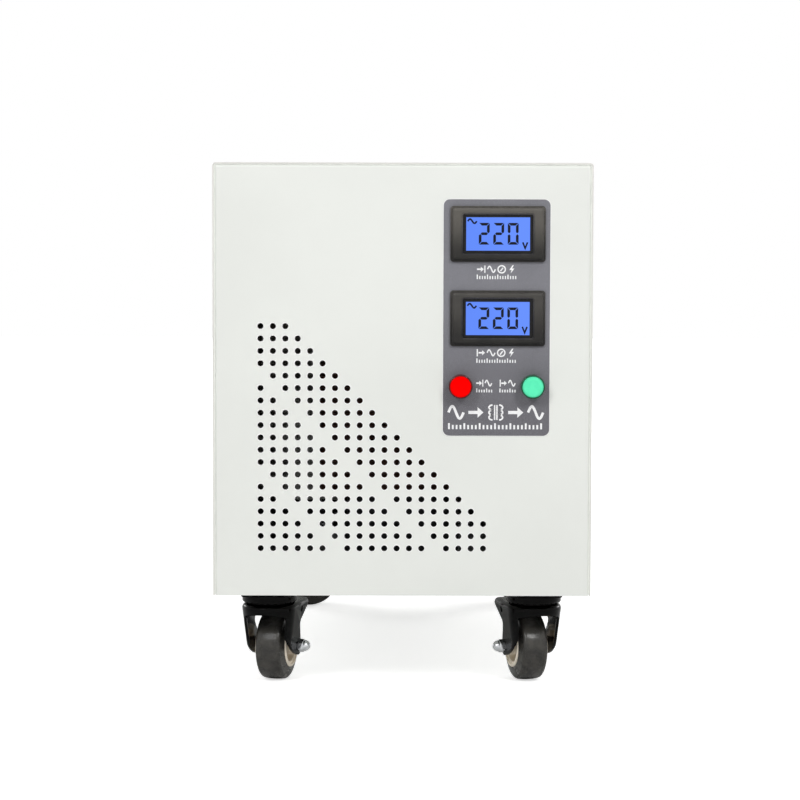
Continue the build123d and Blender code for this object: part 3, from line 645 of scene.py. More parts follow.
@dataclass(frozen=True)
class GlossPaint(Finish):
    """Dipped gloss paint on pressed steel: faint waves, dust, edges paler from wear and painted highlight."""

    base: Colour
    dust_colour: Colour
    # colour of the paler edges, partly rubbed wear and partly a painted highlight
    bare: Colour
    roughness: float = 0.16
    gloss: float = 0.2
    dust: float = 0.2
    rubbed: float = 0.35

    def shade(self, graph: Surface) -> None:
        """Adds dark paint, dust in patches and brighter edges, partly rubbed and partly a painted highlight.

        Args:
            graph: the material's tree and shader.
        """
        dust = DUST.mask(graph, Scale=70.0, Amount=self.dust)
        # paler edges: partly rubbed wear, partly a painted highlight
        edge = EDGE.mask(graph, Radius=0.0005, Scale=500.0, Amount=self.rubbed)
        painted = graph.blend(dust, self.base, self.dust_colour)
        graph.set("Base Color", graph.blend(edge, painted, self.bare))
        grain = graph.relief(scale=160.0, specks=0.2, depth=0.00012, strength=0.35)
        rough = graph.vary(grain.outputs["Height"], self.roughness - 0.03, self.roughness + 0.06)
        dull = graph.calc("MULTIPLY", dust, 0.8)
        graph.set("Roughness", graph.calc("ADD", rough, dull))
        graph.set("Specular IOR Level", self.gloss)


@dataclass(frozen=True)
class WornRubber(TwoTone):
    """Black rubber that has rolled on a dusty floor."""

    dusty: Colour
    roughness: float = 0.42
    dust: float = 0.3

    def shade(self, graph: Surface) -> None:
        """Adds two close blacks, a dusty bloom and fine pits.

        Args:
            graph: the material's tree and shader.
        """
        tone = self.tone(graph, 120.0)
        dust = DUST.mask(graph, Scale=55.0, Amount=self.dust)
        graph.set("Base Color", graph.blend(dust, tone.outputs["Color"], self.dusty))
        graph.relief(scale=900.0, specks=0.3, depth=0.00012)
        rough = graph.ramp(tone.outputs["Drift"], 0.0, 1.0, self.roughness - 0.06, self.roughness + 0.1)
        graph.set("Roughness", rough)
        graph.set("Specular IOR Level", 0.3)


@dataclass(frozen=True)
class Laminations(TwoTone):
    """Varnished edge of a stack of thin steel sheets, which lie across X."""

    sheet: float = 0.5 * MM

    def shade(self, graph: Surface) -> None:
        """Adds a fine ridge for each sheet and uneven varnish.

        Args:
            graph: the material's tree and shader.
        """
        turn = graph.calc("MULTIPLY", graph.axis("X"), 2 * math.pi / self.sheet)
        ridge = graph.calc("MULTIPLY", graph.calc("ADD", graph.calc("SINE", turn), 1.0), 0.5)
        tone = self.tone(graph, 45.0)
        grain = GRAIN.place(graph, Scale=300.0, Specks=0.4)
        groove = graph.calc("MULTIPLY", ridge, 0.45)
        graph.set("Base Color", graph.blend(groove, tone.outputs["Color"], DARK_GROOVE))
        height = graph.calc("ADD", ridge, grain.outputs["Height"])
        graph.set("Normal", graph.bump(height, depth=0.00012, strength=0.6))
        graph.set("Roughness", graph.vary(grain.outputs["Height"], 0.3, 0.5))
        graph.set("Specular IOR Level", 0.4)


@dataclass(frozen=True)
class Varnished(TwoTone):
    """Insulation or enamelled wire under uneven amber varnish."""

    run: Colour
    roughness: float = 0.25

    def shade(self, graph: Surface) -> None:
        """Adds drifting amber with darker runs and a wet gloss.

        Args:
            graph: the material's tree and shader.
        """
        tone = self.tone(graph, 90.0)
        runs = graph.ramp(graph.noise(60.0, detail=4.0, stretch=Vector((1.0, 1.0, 0.2))), 0.5, 0.68)
        share = graph.calc("MULTIPLY", runs, 0.6)
        graph.set("Base Color", graph.blend(share, tone.outputs["Color"], self.run))
        graph.relief(scale=400.0, specks=0.3, depth=0.00015)
        rough = graph.ramp(runs, 0.0, 1.0, self.roughness + 0.1, self.roughness - 0.08)
        graph.set("Roughness", rough)


# painted highlight: pale halos round the vent holes and the label plate
HALO_HIGHLIGHT = Ink("paint bead with painted highlight", tint(252, 252, 251), tint(247, 247, 245), 0.4)
# painted highlight: a pale bead that fills the seam over its shade
SEAM_HIGHLIGHT = Ink("seam bead with painted highlight", tint(247, 249, 243), tint(242, 244, 238), 0.44)
WHITE_INK = Ink("white ink", tint(250, 250, 250), tint(240, 240, 241))
CASE_PLASTIC = MouldedPlastic("black case plastic", tint(56, 54, 50), tint(49, 47, 44), 0.42, 1500.0, 0.25,
                              0.05)
MODULE_PLASTIC = MouldedPlastic("display module plastic", tint(20, 20, 22), tint(14, 14, 16), 0.3, 1800.0,
                                0.25, 0.04)
SEGMENT_INK = Ink("display segment", tint(5, 7, 20), tint(9, 12, 30), 0.35)
ZINC = PlatedMetal("zinc plate", tint(205, 207, 210), tint(184, 187, 190), 0.3)
CHROME = PlatedMetal("chrome plate", tint(222, 224, 226), tint(208, 211, 214), 0.13, 0.06)
BRASS = PlatedMetal("turned brass", tint(222, 190, 118), tint(200, 165, 92), 0.28)
GROMMET_RUBBER = WornRubber("grommet rubber", tint(30, 30, 31), tint(24, 24, 25), tint(112, 110, 106), 0.5,
                            0.15)
TYRE_RUBBER = WornRubber("tyre rubber", tint(68, 66, 62), tint(48, 47, 45), tint(138, 134, 127), 0.22, 0.25)
CASTER_PAINT = GlossPaint("black caster paint", tint(5, 5, 5), tint(90, 86, 82), tint(80, 80, 80), 0.12, 0.09,
                          0.02, 0.12)
CLAMP_PAINT = GlossPaint("clamp paint", tint(50, 51, 53), tint(130, 126, 118), tint(120, 120, 120), 0.35, 0.3,
                         0.3)
HUB_PLASTIC = MouldedPlastic("cream hub plastic", tint(250, 240, 222), tint(243, 230, 210), 0.34, 1200.0, 0.4,
                             0.08)
CORE_STEEL = Laminations("core laminations", tint(64, 65, 68), tint(48, 48, 52))
WIRE = Varnished("varnished wire", tint(84, 46, 28), tint(66, 36, 22), tint(40, 22, 12))
BOARD = Varnished("pressboard", tint(112, 82, 50), tint(98, 70, 42), tint(76, 52, 30), 0.4)


# ---- mesh work ----

FRONT = Matrix(((1, 0, 0, 0), (0, 0, -1, 0), (0, 1, 0, 0), (0, 0, 0, 1)))
ARC_STEPS = 8


def arc(x: float, y: float, radius: float, first: float) -> Path:
    """Draws a quarter of a circle about a centre from a first angle in degrees."""
    turns = [math.radians(first + 90 * i / ARC_STEPS) for i in range(ARC_STEPS + 1)]
    return [(x + radius * math.cos(turn), y + radius * math.sin(turn)) for turn in turns]


def round_rectangle(half_x: float, half_y: float, corner: float, radius: float) -> Path:
    """Draws a rectangle with round corners.

    Args:
        half_x: half of its size along x.
        half_y: half of its size along y.
        corner: how far the corners' centres lie inside its sides.
        radius: the corners' radius.

    Returns:
        Its points.
    """
    path = []
    for side, end, first in ((1, 1, 0), (-1, 1, 90), (-1, -1, 180), (1, -1, 270)):
        path += arc(side * (half_x - corner), end * (half_y - corner), radius, first)
    return path


def full_turn(steps: int) -> list[float]:
    """Angles that go once round in even steps."""
    return [2 * math.pi * i / steps for i in range(steps)]


def round_axis(radius: float, turn: float, z: float) -> Vector:
    """Finds a point from its distance and its angle about the z axis, and its height."""
    return Vector((radius * math.cos(turn), radius * math.sin(turn), z))


def add_object(name: str, data: bpy.types.ID) -> bpy.types.Object:
    """Adds an object to the scene.

    Args:
        name: its name.
        data: its mesh, lamp or camera.

    Returns:
        The object.
    """
    made = bpy.data.objects.new(name, data)
    bpy.context.scene.collection.objects.link(made)
    return made


def at_front(x: float, depth: float, z: float) -> Matrix:
    """Places a drawing in millimetres upright at a point in metres, its z towards the viewer."""
    return Matrix.Translation((x, depth, z)) @ FRONT @ Matrix.Scale(MM, 4)


class Form:
    """Closed forms that are gathered into one piece."""

    def __init__(self) -> None:
        """Starts with nothing."""
        self.mesh = bmesh.new()

    def skin(self, loops: list[list[Vector]], place: Matrix, wrap: bool = False, look: int = 0) -> None:
        """Covers a row of closed loops and closes both ends.

        Args:
            loops: loops of equal length, or of a single point at a pole.
            place: where the form goes.
            wrap: the last loop joins the first instead of being closed.
            look: index of the piece's finish.
        """
        rows = [[self.mesh.verts.new(place @ Vector(p)) for p in loop] for loop in loops]
        pairs = list(zip(rows, rows[1:]))
        if wrap:
            pairs.append((rows[-1], rows[0]))
        faces = []
        for one, two in pairs:
            count = max(len(one), len(two))
            for i in range(count):
                j = (i + 1) % count
                corners = [one[i % len(one)], one[j % len(one)], two[j % len(two)], two[i % len(two)]]
                faces.append(self.mesh.faces.new(list(dict.fromkeys(corners))))
        if not wrap:
            faces += [self.mesh.faces.new(row) for row in (rows[0], rows[-1]) if len(row) > 2]
        for face in faces:
            face.material_index = look

    def prism(self, outline: Path, low: float, high: float, place: Matrix) -> None:
        """Adds an outline given thickness between two heights."""
        self.skin([[Vector((x, y, z)) for x, y in outline] for z in (low, high)], place)

    def bar(self, path: Path, width: float, low: float, high: float, place: Matrix,
            closed: bool = False) -> None:
        """Adds a flat line of even width with mitred bends.

        Args:
            path: points along its middle.
            width: its width.
            low: its lower face.
            high: its upper face.
            place: where it goes.
            closed: the line's end joins its start.
        """
        loops = []
        for i, (x, y) in enumerate(path):
            before = path[i - 1] if closed or i else None
            after = path[(i + 1) % len(path)] if closed or i + 1 < len(path) else None
            runs = []
            if before is not None:
                runs.append(Vector((x - before[0], y - before[1])).normalized())
            if after is not None:
                runs.append(Vector((after[0] - x, after[1] - y)).normalized())
            along = sum(runs, Vector((0, 0))).normalized()
            side = Vector((-along.y, along.x)) * (width / 2 / max(along.dot(runs[0]), MITRE_LIMIT))
            loops.append([Vector((x + s * side.x, y + s * side.y, z)) for s, z in
                          ((1, low), (-1, low), (-1, high), (1, high))])
        self.skin(loops, place, wrap=closed)

    def lathe(self, profile: Path, place: Matrix, steps: int, wrap: bool = False) -> None:
        """Adds a turned form.

        Args:
            profile: radius and height of each point, from one end to the other.
            place: where it goes, with its axis on the drawing's z.
            steps: flats round it.
            wrap: the profile's end joins its start, as on a ring.
        """
        loops = [[round_axis(radius, turn, height) for turn in full_turn(steps if radius else 1)]
                 for radius, height in profile]
        self.skin(loops, place, wrap=wrap)

    def copy_in(self, mesh: bpy.types.Mesh, place: Matrix) -> None:
        """Adds a copy of a mesh.

        Args:
            mesh: what is copied.
            place: where it goes.
        """
        before = len(self.mesh.verts)
        self.mesh.from_mesh(mesh)
        self.mesh.verts.ensure_lookup_table()
        bmesh.ops.transform(self.mesh, matrix=place, verts=self.mesh.verts[before:])

    def to_mesh(self, name: str) -> bpy.types.Mesh:
        """Makes a Blender mesh of what has been gathered.

        Args:
            name: the mesh's name.

        Returns:
            The mesh, with its faces turned outwards and shaded smooth.
        """
        bmesh.ops.recalc_face_normals(self.mesh, faces=self.mesh.faces)
        mesh = bpy.data.meshes.new(name)
        self.mesh.to_mesh(mesh)
        self.mesh.free()
        mesh.shade_smooth()
        mesh.set_sharp_from_angle(angle=math.radians(SHARP_EDGE))
        return mesh


def make_piece(name: str, form: Form, finishes: Sequence[Finish], slot: str, *replaces: str,
               body: str = "root") -> None:
    """Turns gathered forms into a piece that rides on a body.

    Args:
        name: the piece's name.
        form: what it is made of.
        finishes: its finishes by index.
        slot: the record's material slot; not used.
        replaces: CAD nodes that it stands for.
        body: the body that it rides on.
    """
    piece = add_object(name, form.to_mesh(name))
    for finish in finishes:
        piece.data.materials.append(finish.material())
    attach(piece, body)
    if replaces:
        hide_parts(*replaces)
    LOG.info("piece %s: %d faces", name, len(piece.data.polygons))


def dress(node: str, finish: Finish) -> None:
    """Gives a CAD node its finish.

    Args:
        node: the node's name.
        finish: what it is made of.
    """
    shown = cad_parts[node]
    shown.data.materials.clear()
    shown.data.materials.append(finish.material())
    LOG.info("node %s: %s", node, finish.name)


def soften(node: str, width: float) -> None:
    """Rounds a CAD node's sharp edges with modifiers.

    Args:
        node: the node's name.
        width: width of the rounding, in millimetres.
    """
    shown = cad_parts[node]
    shown.modifiers.new("weld", "WELD").merge_threshold = WELD
    bevel = shown.modifiers.new("edge", "BEVEL")
    bevel.width = width * MM
    bevel.segments = 2
    bevel.limit_method = "ANGLE"
    bevel.angle_limit = math.radians(ROUNDED_EDGE)
    bevel.harden_normals = True


def solids_of(node: str) -> list[list[Vector]]:
    """Splits a CAD node that holds a group into its solids.

    Args:
        node: the node's name.

    Returns:
        The points of each solid, in metres.
    """
    work = bmesh.new()
    work.from_mesh(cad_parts[node].data)
    bmesh.ops.remove_doubles(work, verts=work.verts, dist=WELD)
    left = set(work.verts)
    solids = []
    for start in work.verts:
        if start not in left:
            continue
        left.discard(start)
        found, edge = [start], [start]
        while edge:
            reached = {e.other_vert(v) for v in edge for e in v.link_edges} & left
            left -= reached
            edge = list(reached)
            found += edge
        solids.append([v.co.copy() for v in found])
    work.free()
    return solids


def screw_place(points: list[Vector]) -> Matrix:
    """Finds how a screw lies: its seat under the head, and the way its head looks.

    Args:
        points: the screw's points.

    Returns:
        Matrix from a screw drawn in millimetres with its head above z = 0.
    """
    low = Vector([min(p[i] for p in points) for i in range(3)])
    high = Vector([max(p[i] for p in points) for i in range(3)])
    size = high - low
    axis = max(range(3), key=lambda i: size[i])
    middle = (low + high) / 2
    girth = min(size[i] for i in range(3) if i != axis)
    heads = [p for p in points if (p - middle).length and
             math.hypot(*(p[i] - middle[i] for i in range(3) if i != axis)) > HEAD_REACH * girth]
    outward = 1 if sum(p[axis] for p in heads) / len(heads) > middle[axis] else -1
    seat = middle.copy()
    seat[axis] = min(outward * p[axis] for p in heads) * outward
    up = Vector((0, 0, 0))
    up[axis] = outward
    return Matrix.Translation(seat) @ up.to_track_quat("Z", "Y").to_matrix().to_4x4() @ Matrix.Scale(MM, 4)


# ---- cabinet ----

@dataclass
class Cabinet:
    """Sheet metal of the cabinet, with raised rings round its holes painted white as highlights."""

    # how far inside the sheets, and behind the front and before the rear, the painted shade starts
    painted_inner_shade_depth: float = 1.05
    painted_inner_shade_start: float = 15.0
    painted_inner_shade_end: float = 3.0
    sheet: float = 1.2
    inner_bend: float = 1.8
    seam_width: float = 0.7
    seam_low: float = -1.1
    seam_high: float = -0.4
    seam_start: float = 1.0
    bead_inner: float = 2.45
    bead_outer: float = 3.1
    bead_height: float = 0.09
    bead_foot: float = -0.03
    bead_shape: tuple[Point, ...] = ((0.0, 0.7), (0.3, 1.0), (0.7, 0.7))
    bead_steps: int = 24
    vent_pitch: float = 10.0
    vent_rows: int = 19
    vent_columns: int = 19
    vent_inset: float = 38.6
    first_row: int = 3
    blank_bands: tuple[int, int] = (4, 12)
    # painted shade on the forward edges of the cover
    painted_rim_shade: Colour = tint(223, 222, 217)

    def build(self) -> None:
        """Dresses the sheets and adds the painted highlights round the holes and in the seam."""
        coat = self.coat()
        for node in ("front_panel", "rear_panel", "base_tray"):
            dress(node, coat)
        dress("wrap_cover", replace(coat, name="powder coat of the cover, shaded rim", rim=self.painted_rim_shade))
        self.paint_beads()
        self.seam()

    def coat(self) -> PowderCoat:
        """Works out the box inside which the sheets are painted dark as shade.

        Returns:
            The coat.
        """
        low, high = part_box("wrap_cover")
        low.y, high.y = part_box("front_panel")[0].y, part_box("rear_panel")[1].y
        skin = Vector((self.painted_inner_shade_depth,) * 3) * MM
        low, high = low + skin, high - skin
        low.y += (self.painted_inner_shade_start - self.painted_inner_shade_depth) * MM
        high.y -= (self.painted_inner_shade_end - self.painted_inner_shade_depth) * MM
        # the paler colour is a painted edge highlight, and the dark one is painted shade inside
        return PowderCoat("powder coat", tint(235, 237, 232), tint(231, 233, 228), tint(246, 247, 245),
                          tint(52, 53, 52), tuple(low), tuple(high))

    def seam(self) -> None:
        """Fills the seam between the cover and the front panel with a pale bead, a painted highlight."""
        low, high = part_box("wrap_cover")
        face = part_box("front_panel")[0]
        inset = self.sheet + self.seam_width / 2
        side = (high.x - low.x) / MM / 2 - inset
        top = (high.z - face.z) / MM - inset
        bend = self.inner_bend - self.seam_width / 2
        path = [(side, self.seam_start)]
        for sign, first in ((1, 0), (-1, 90)):
            path += arc(sign * (side - bend), top - bend, bend, first)
        path.append((-side, self.seam_start))
        form = Form()
        form.bar(path, self.seam_width, self.seam_low, self.seam_high,
                 at_front((low.x + high.x) / 2, face.y, face.z))
        make_piece("seam_paint", form, [SEAM_HIGHLIGHT], "coat")

    def vent_places(self) -> list[Point]:
        """Works out where the round holes are.

        Returns:
            Millimetres to the right of the cover's left side and above its lower edge.
        """
        places = []
        for row in range(self.vent_rows):
            for column in range(min(row + self.first_row, self.vent_columns)):
                if row - column not in self.blank_bands:
                    places.append((self.vent_inset + column * self.vent_pitch,
                                   self.vent_inset + (self.vent_rows - 1 - row) * self.vent_pitch))
        return places

    def paint_beads(self) -> None:
        """Adds a thin raised ring round each hole, painted white as a highlight."""
        low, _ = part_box("wrap_cover")
        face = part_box("front_panel")[0].y
        inner, wide, height = self.bead_inner, self.bead_outer - self.bead_inner, self.bead_height
        profile = [(inner, self.bead_foot)] + [(inner + wide * x, height * z) for x, z in self.bead_shape]
        profile.append((self.bead_outer, self.bead_foot))
        form = Form()
        for x, z in self.vent_places():
            form.lathe(profile, at_front(low.x + x * MM, face, low.z + z * MM), self.bead_steps, wrap=True)
        make_piece("vent_paint_beads", form, [HALO_HIGHLIGHT], "coat")


@dataclass
class ScrewSet:
    """Pan head screws with a cross recess, in place of the plain ones."""

    thread: float = 4.0
    head: float = 8.0
    head_height: float = 2.4
    length: float = 8.0
    recess: float = 2.1
    recess_width: float = 0.55
    recess_depth: float = 1.5
    recess_taper: Pair = (0.5, 0.6)
    recess_lip: float = 0.25
    rim: float = 0.9
    tip: float = 0.5
    point: float = 0.4
    steps: int = 40

    def cutter(self) -> bpy.types.Mesh:
        """Makes the tapered cross that is cut from the head.

        Returns:
            The cutter's mesh.
        """
        form = Form()
        loops = []
        deep, narrow = self.recess_taper
        for reach, half, z in (
                (deep * self.recess, narrow * self.recess_width, self.head_height - self.recess_depth),
                (self.recess, self.recess_width, self.head_height - self.recess_lip),
                (self.recess, self.recess_width, self.head_height + 1)):
            corner = [(half, half), (half, reach), (-half, reach)]
            loop = []
            for turn in range(4):
                for x, y in corner:
                    for _ in range(turn):
                        x, y = -y, x
                    loop.append(Vector((x, y, z)))
            loops.append(loop)
        form.skin(loops, Matrix.Identity(4))
        return form.to_mesh("recess")

    def screw(self) -> bpy.types.Mesh:
        """Makes one screw with its head above z = 0.

        Returns:
            The screw's mesh, in millimetres.
        """
        shank, head = self.thread / 2, self.head / 2
        dome = [(head * math.cos(a), self.rim + (self.head_height - self.rim) * math.sin(a))
                for a in (math.pi / 2 * i / 8 for i in range(8))]
        profile = [(0, -self.length), (shank - self.point, -self.length), (shank, self.tip - self.length),
                   (shank, 0), (head, 0)] + dome + [(0, self.head_height)]
        form = Form()
        form.lathe(profile, Matrix.Identity(4), self.steps)
        blank = add_object("screw_blank", form.to_mesh("screw_blank"))
        tool = add_object("screw_tool", self.cutter())
        cut = blank.modifiers.new("recess", "BOOLEAN")
        cut.object = tool
        cut.operation = "DIFFERENCE"
        cut.solver = "EXACT"
        bpy.context.view_layer.update()
        mesh = bpy.data.meshes.new_from_object(blank.evaluated_get(bpy.context.evaluated_depsgraph_get()))
        for one in (blank, tool):
            bpy.data.objects.remove(one)
        return mesh

    def build(self) -> None:
        """Puts a screw in every place of the plain ones."""
        mesh = self.screw()
        form = Form()
        for points in solids_of("m4_screws"):
            form.copy_in(mesh, screw_place(points))
        make_piece("cross_recess_screws", form, [ZINC], "zinc", "m4_screws")


# ---- label plate ----

class Sign(Enum):
    """Plain symbols that are printed on the label plate."""

    FEED = "arrow into a bar"
    DRAW = "arrow out of a bar"
    WAVE = "one period of a sine"
    GAUGE = "dial with a needle"
    BOLT = "flash"
    COILS = "two windings and a core"
    ARROW = "arrow"


@dataclass(frozen=True)
class Drawing:
    """Lines and filled shapes of a symbol in a cell one unit wide and high."""

    lines: tuple[tuple[Path, bool], ...] = ()
    shapes: tuple[Path, ...] = ()
    weight: float = 1.0


def arrow(start: float, tip: float, shaft: float = 0.095, head: float = 0.31, length: float = 0.36) -> Path:
    """Outlines an arrow that points to the right.

    Args:
        start: where its shaft starts.
        tip: where it points.
        shaft: half of the shaft's width.
        head: half of the head's width.
        length: the head's length.

    Returns:
        The outline's corners.
    """
    neck = tip - length
    return [(start, 0.5 - shaft), (neck, 0.5 - shaft), (neck, 0.5 - head), (tip, 0.5), (neck, 0.5 + head),
            (neck, 0.5 + shaft), (start, 0.5 + shaft)]


def wave(x: float, y: float, width: float, height: float, steps: int) -> Path:
    """Draws one period of a sine from its left end."""
    return [(x + width * i / steps, y + height * math.sin(2 * math.pi * i / steps)) for i in range(steps + 1)]


def upright(x: float, half: float = 0.075, low: float = 0.06, high: float = 0.94) -> Path:
    """Outlines an upright bar about x."""
    return [(x - half, low), (x + half, low), (x + half, high), (x - half, high)]


def humps(side: int) -> tuple[tuple[Path, bool], ...]:
    """Draws the three open humps of a winding.

    Args:
        side: -1 if they bulge to the left, 1 if to the right.

    Returns:
        The humps, each of them open.
    """
    turns = [math.pi * i / 8 for i in range(9)]
    return tuple(([(0.5 + side * (0.2 + 0.22 * math.sin(turn)),
                    0.94 - 0.88 * (hump + 0.5 - 0.5 * math.cos(turn)) / 3) for turn in turns], False)
                 for hump in range(3))


RIM = [(0.5 + 0.43 * math.cos(turn), 0.5 + 0.43 * math.sin(turn)) for turn in full_turn(28)]
SIGNS = {
    Sign.FEED: Drawing(shapes=(arrow(0.0, 0.8), upright(0.92))),
    Sign.DRAW: Drawing(shapes=(upright(0.08), arrow(0.22, 1.0))),
    Sign.ARROW: Drawing(shapes=(arrow(0.04, 0.96),)),
    Sign.WAVE: Drawing(lines=((wave(0.04, 0.5, 0.92, 0.36, 20), False),)),
    Sign.GAUGE: Drawing(lines=((RIM, True), ([(0.36, 0.28), (0.66, 0.68)], False))),
    Sign.BOLT: Drawing(shapes=([(0.56, 1.0), (0.2, 0.42), (0.46, 0.42), (0.36, 0.0), (0.8, 0.6), (0.53, 0.6),
                                (0.74, 1.0)],)),
    Sign.COILS: Drawing(lines=humps(-1) + humps(1), shapes=(upright(0.43, 0.04), upright(0.57, 0.04)),
                        weight=0.6),
}


@dataclass(frozen=True)
class SignRow:
    """A row of symbols, placed from the plate's left and upper edges in millimetres."""

    signs: tuple[Sign, ...]
    left: float
    top: float
    width: float
    height: float
    pitch: float
    line: float


@dataclass(frozen=True)
class ScaleRow:
    """A row of short upright marks, placed from the plate's left and upper edges in millimetres."""

    left: float
    right: float
    top: float
    under: float
    pitch: float
    mark: float
    short: float = 0.7

    def marks(self) -> list[Pair]:
        """Works out where the marks stand and how high they are.

        Returns:
            Left side and height of each.
        """
        count = round((self.right - self.left - self.mark) / self.pitch)
        pitch = (self.right - self.left - self.mark) / count
        rise = self.under - self.top
        return [(i * pitch, rise * (1.0 if i % 4 == 0 else self.short)) for i in range(count + 1)]


@dataclass
class LabelPlate:
    """Grey plate behind the instruments, with plain white symbols."""

    ink: float = 0.05
    bead: float = 0.55
    bead_reach: Pair = (-0.03, 0.16)
    # shares of the plate's height over which the painted shade fades out upwards
    fade: Pair = (0.08, 0.55)
    corner: float = 5.0
    rows: tuple[SignRow, ...] = (
        SignRow((Sign.FEED, Sign.WAVE, Sign.GAUGE, Sign.BOLT), 26.9, 52.7, 6.9, 6.7, 8.2, 1.1),
        SignRow((Sign.DRAW, Sign.WAVE, Sign.GAUGE, Sign.BOLT), 26.9, 119.9, 6.9, 6.7, 8.2, 1.1),
        SignRow((Sign.FEED, Sign.WAVE), 26.7, 144.6, 5.8, 6.4, 6.9, 1.0),
        SignRow((Sign.DRAW, Sign.WAVE), 45.6, 144.6, 5.8, 6.4, 6.9, 1.0),
        SignRow((Sign.WAVE, Sign.ARROW, Sign.COILS, Sign.ARROW, Sign.WAVE), 3.9, 164.6, 13.2, 13.8, 16.06,
                2.1),
    )
    scales: tuple[ScaleRow, ...] = (
        ScaleRow(26.7, 58.5, 60.3, 64.0, 2.1, 0.95), ScaleRow(26.7, 58.5, 127.8, 131.4, 2.1, 0.95),
        ScaleRow(26.7, 39.6, 152.1, 155.3, 2.1, 0.95), ScaleRow(45.4, 58.5, 152.1, 155.3, 2.1, 0.95),
        ScaleRow(4.1, 80.0, 180.2, 185.1, 3.15, 1.5),
    )

    def build(self) -> None:
        """Dresses the plate and adds its edge and its print."""
        low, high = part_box("label_plate")
        tall = high.z - low.z
        # the film is painted darker towards its bottom as shade
        dress("label_plate", PrintedFilm("label film", tint(126, 126, 132), tint(119, 119, 125),
                                         tint(162, 163, 170), tint(103, 102, 107),
                                         *(low.z + share * tall for share in self.fade)))
        self.edge()
        self.printing()

    def edge(self) -> None:
        """Adds a fine pale line round the plate, a painted highlight."""
        low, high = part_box("label_plate")
        wide, tall = (high.x - low.x) / MM / 2, (high.z - low.z) / MM / 2
        path = round_rectangle(wide, tall, self.corner, self.corner + self.bead / 2)
        form = Form()
        middle = (low + high) / 2
        form.bar(path, self.bead, *self.bead_reach, at_front(middle.x, high.y, middle.z), closed=True)
        make_piece("label_edge", form, [HALO_HIGHLIGHT], "coat")

    def printing(self) -> None:
        """Adds the rows of symbols and the lines of short marks."""
        low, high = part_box("label_plate")
        form = Form()
        for row in self.rows:
            for index, sign in enumerate(row.signs):
                drawing = SIGNS[sign]
                place = at_front(low.x + (row.left + index * row.pitch) * MM, low.y,
                                 high.z - (row.top + row.height) * MM)
                for points, closed in drawing.lines:
                    path = [(x * row.width, y * row.height) for x, y in points]
                    form.bar(path, row.line * drawing.weight, 0.0, self.ink, place, closed)
                for points in drawing.shapes:
                    form.prism([(x * row.width, y * row.height) for x, y in points], 0.0, self.ink, place)
        for scale in self.scales:
            place = at_front(low.x + scale.left * MM, low.y, high.z - scale.under * MM)
            for x, rise in scale.marks():
                end = x + scale.mark
                form.prism([(x, 0), (end, 0), (end, rise), (x, rise)], 0.0, self.ink, place)
        make_piece("label_print", form, [WHITE_INK], "label")


# ---- meters and lamps ----

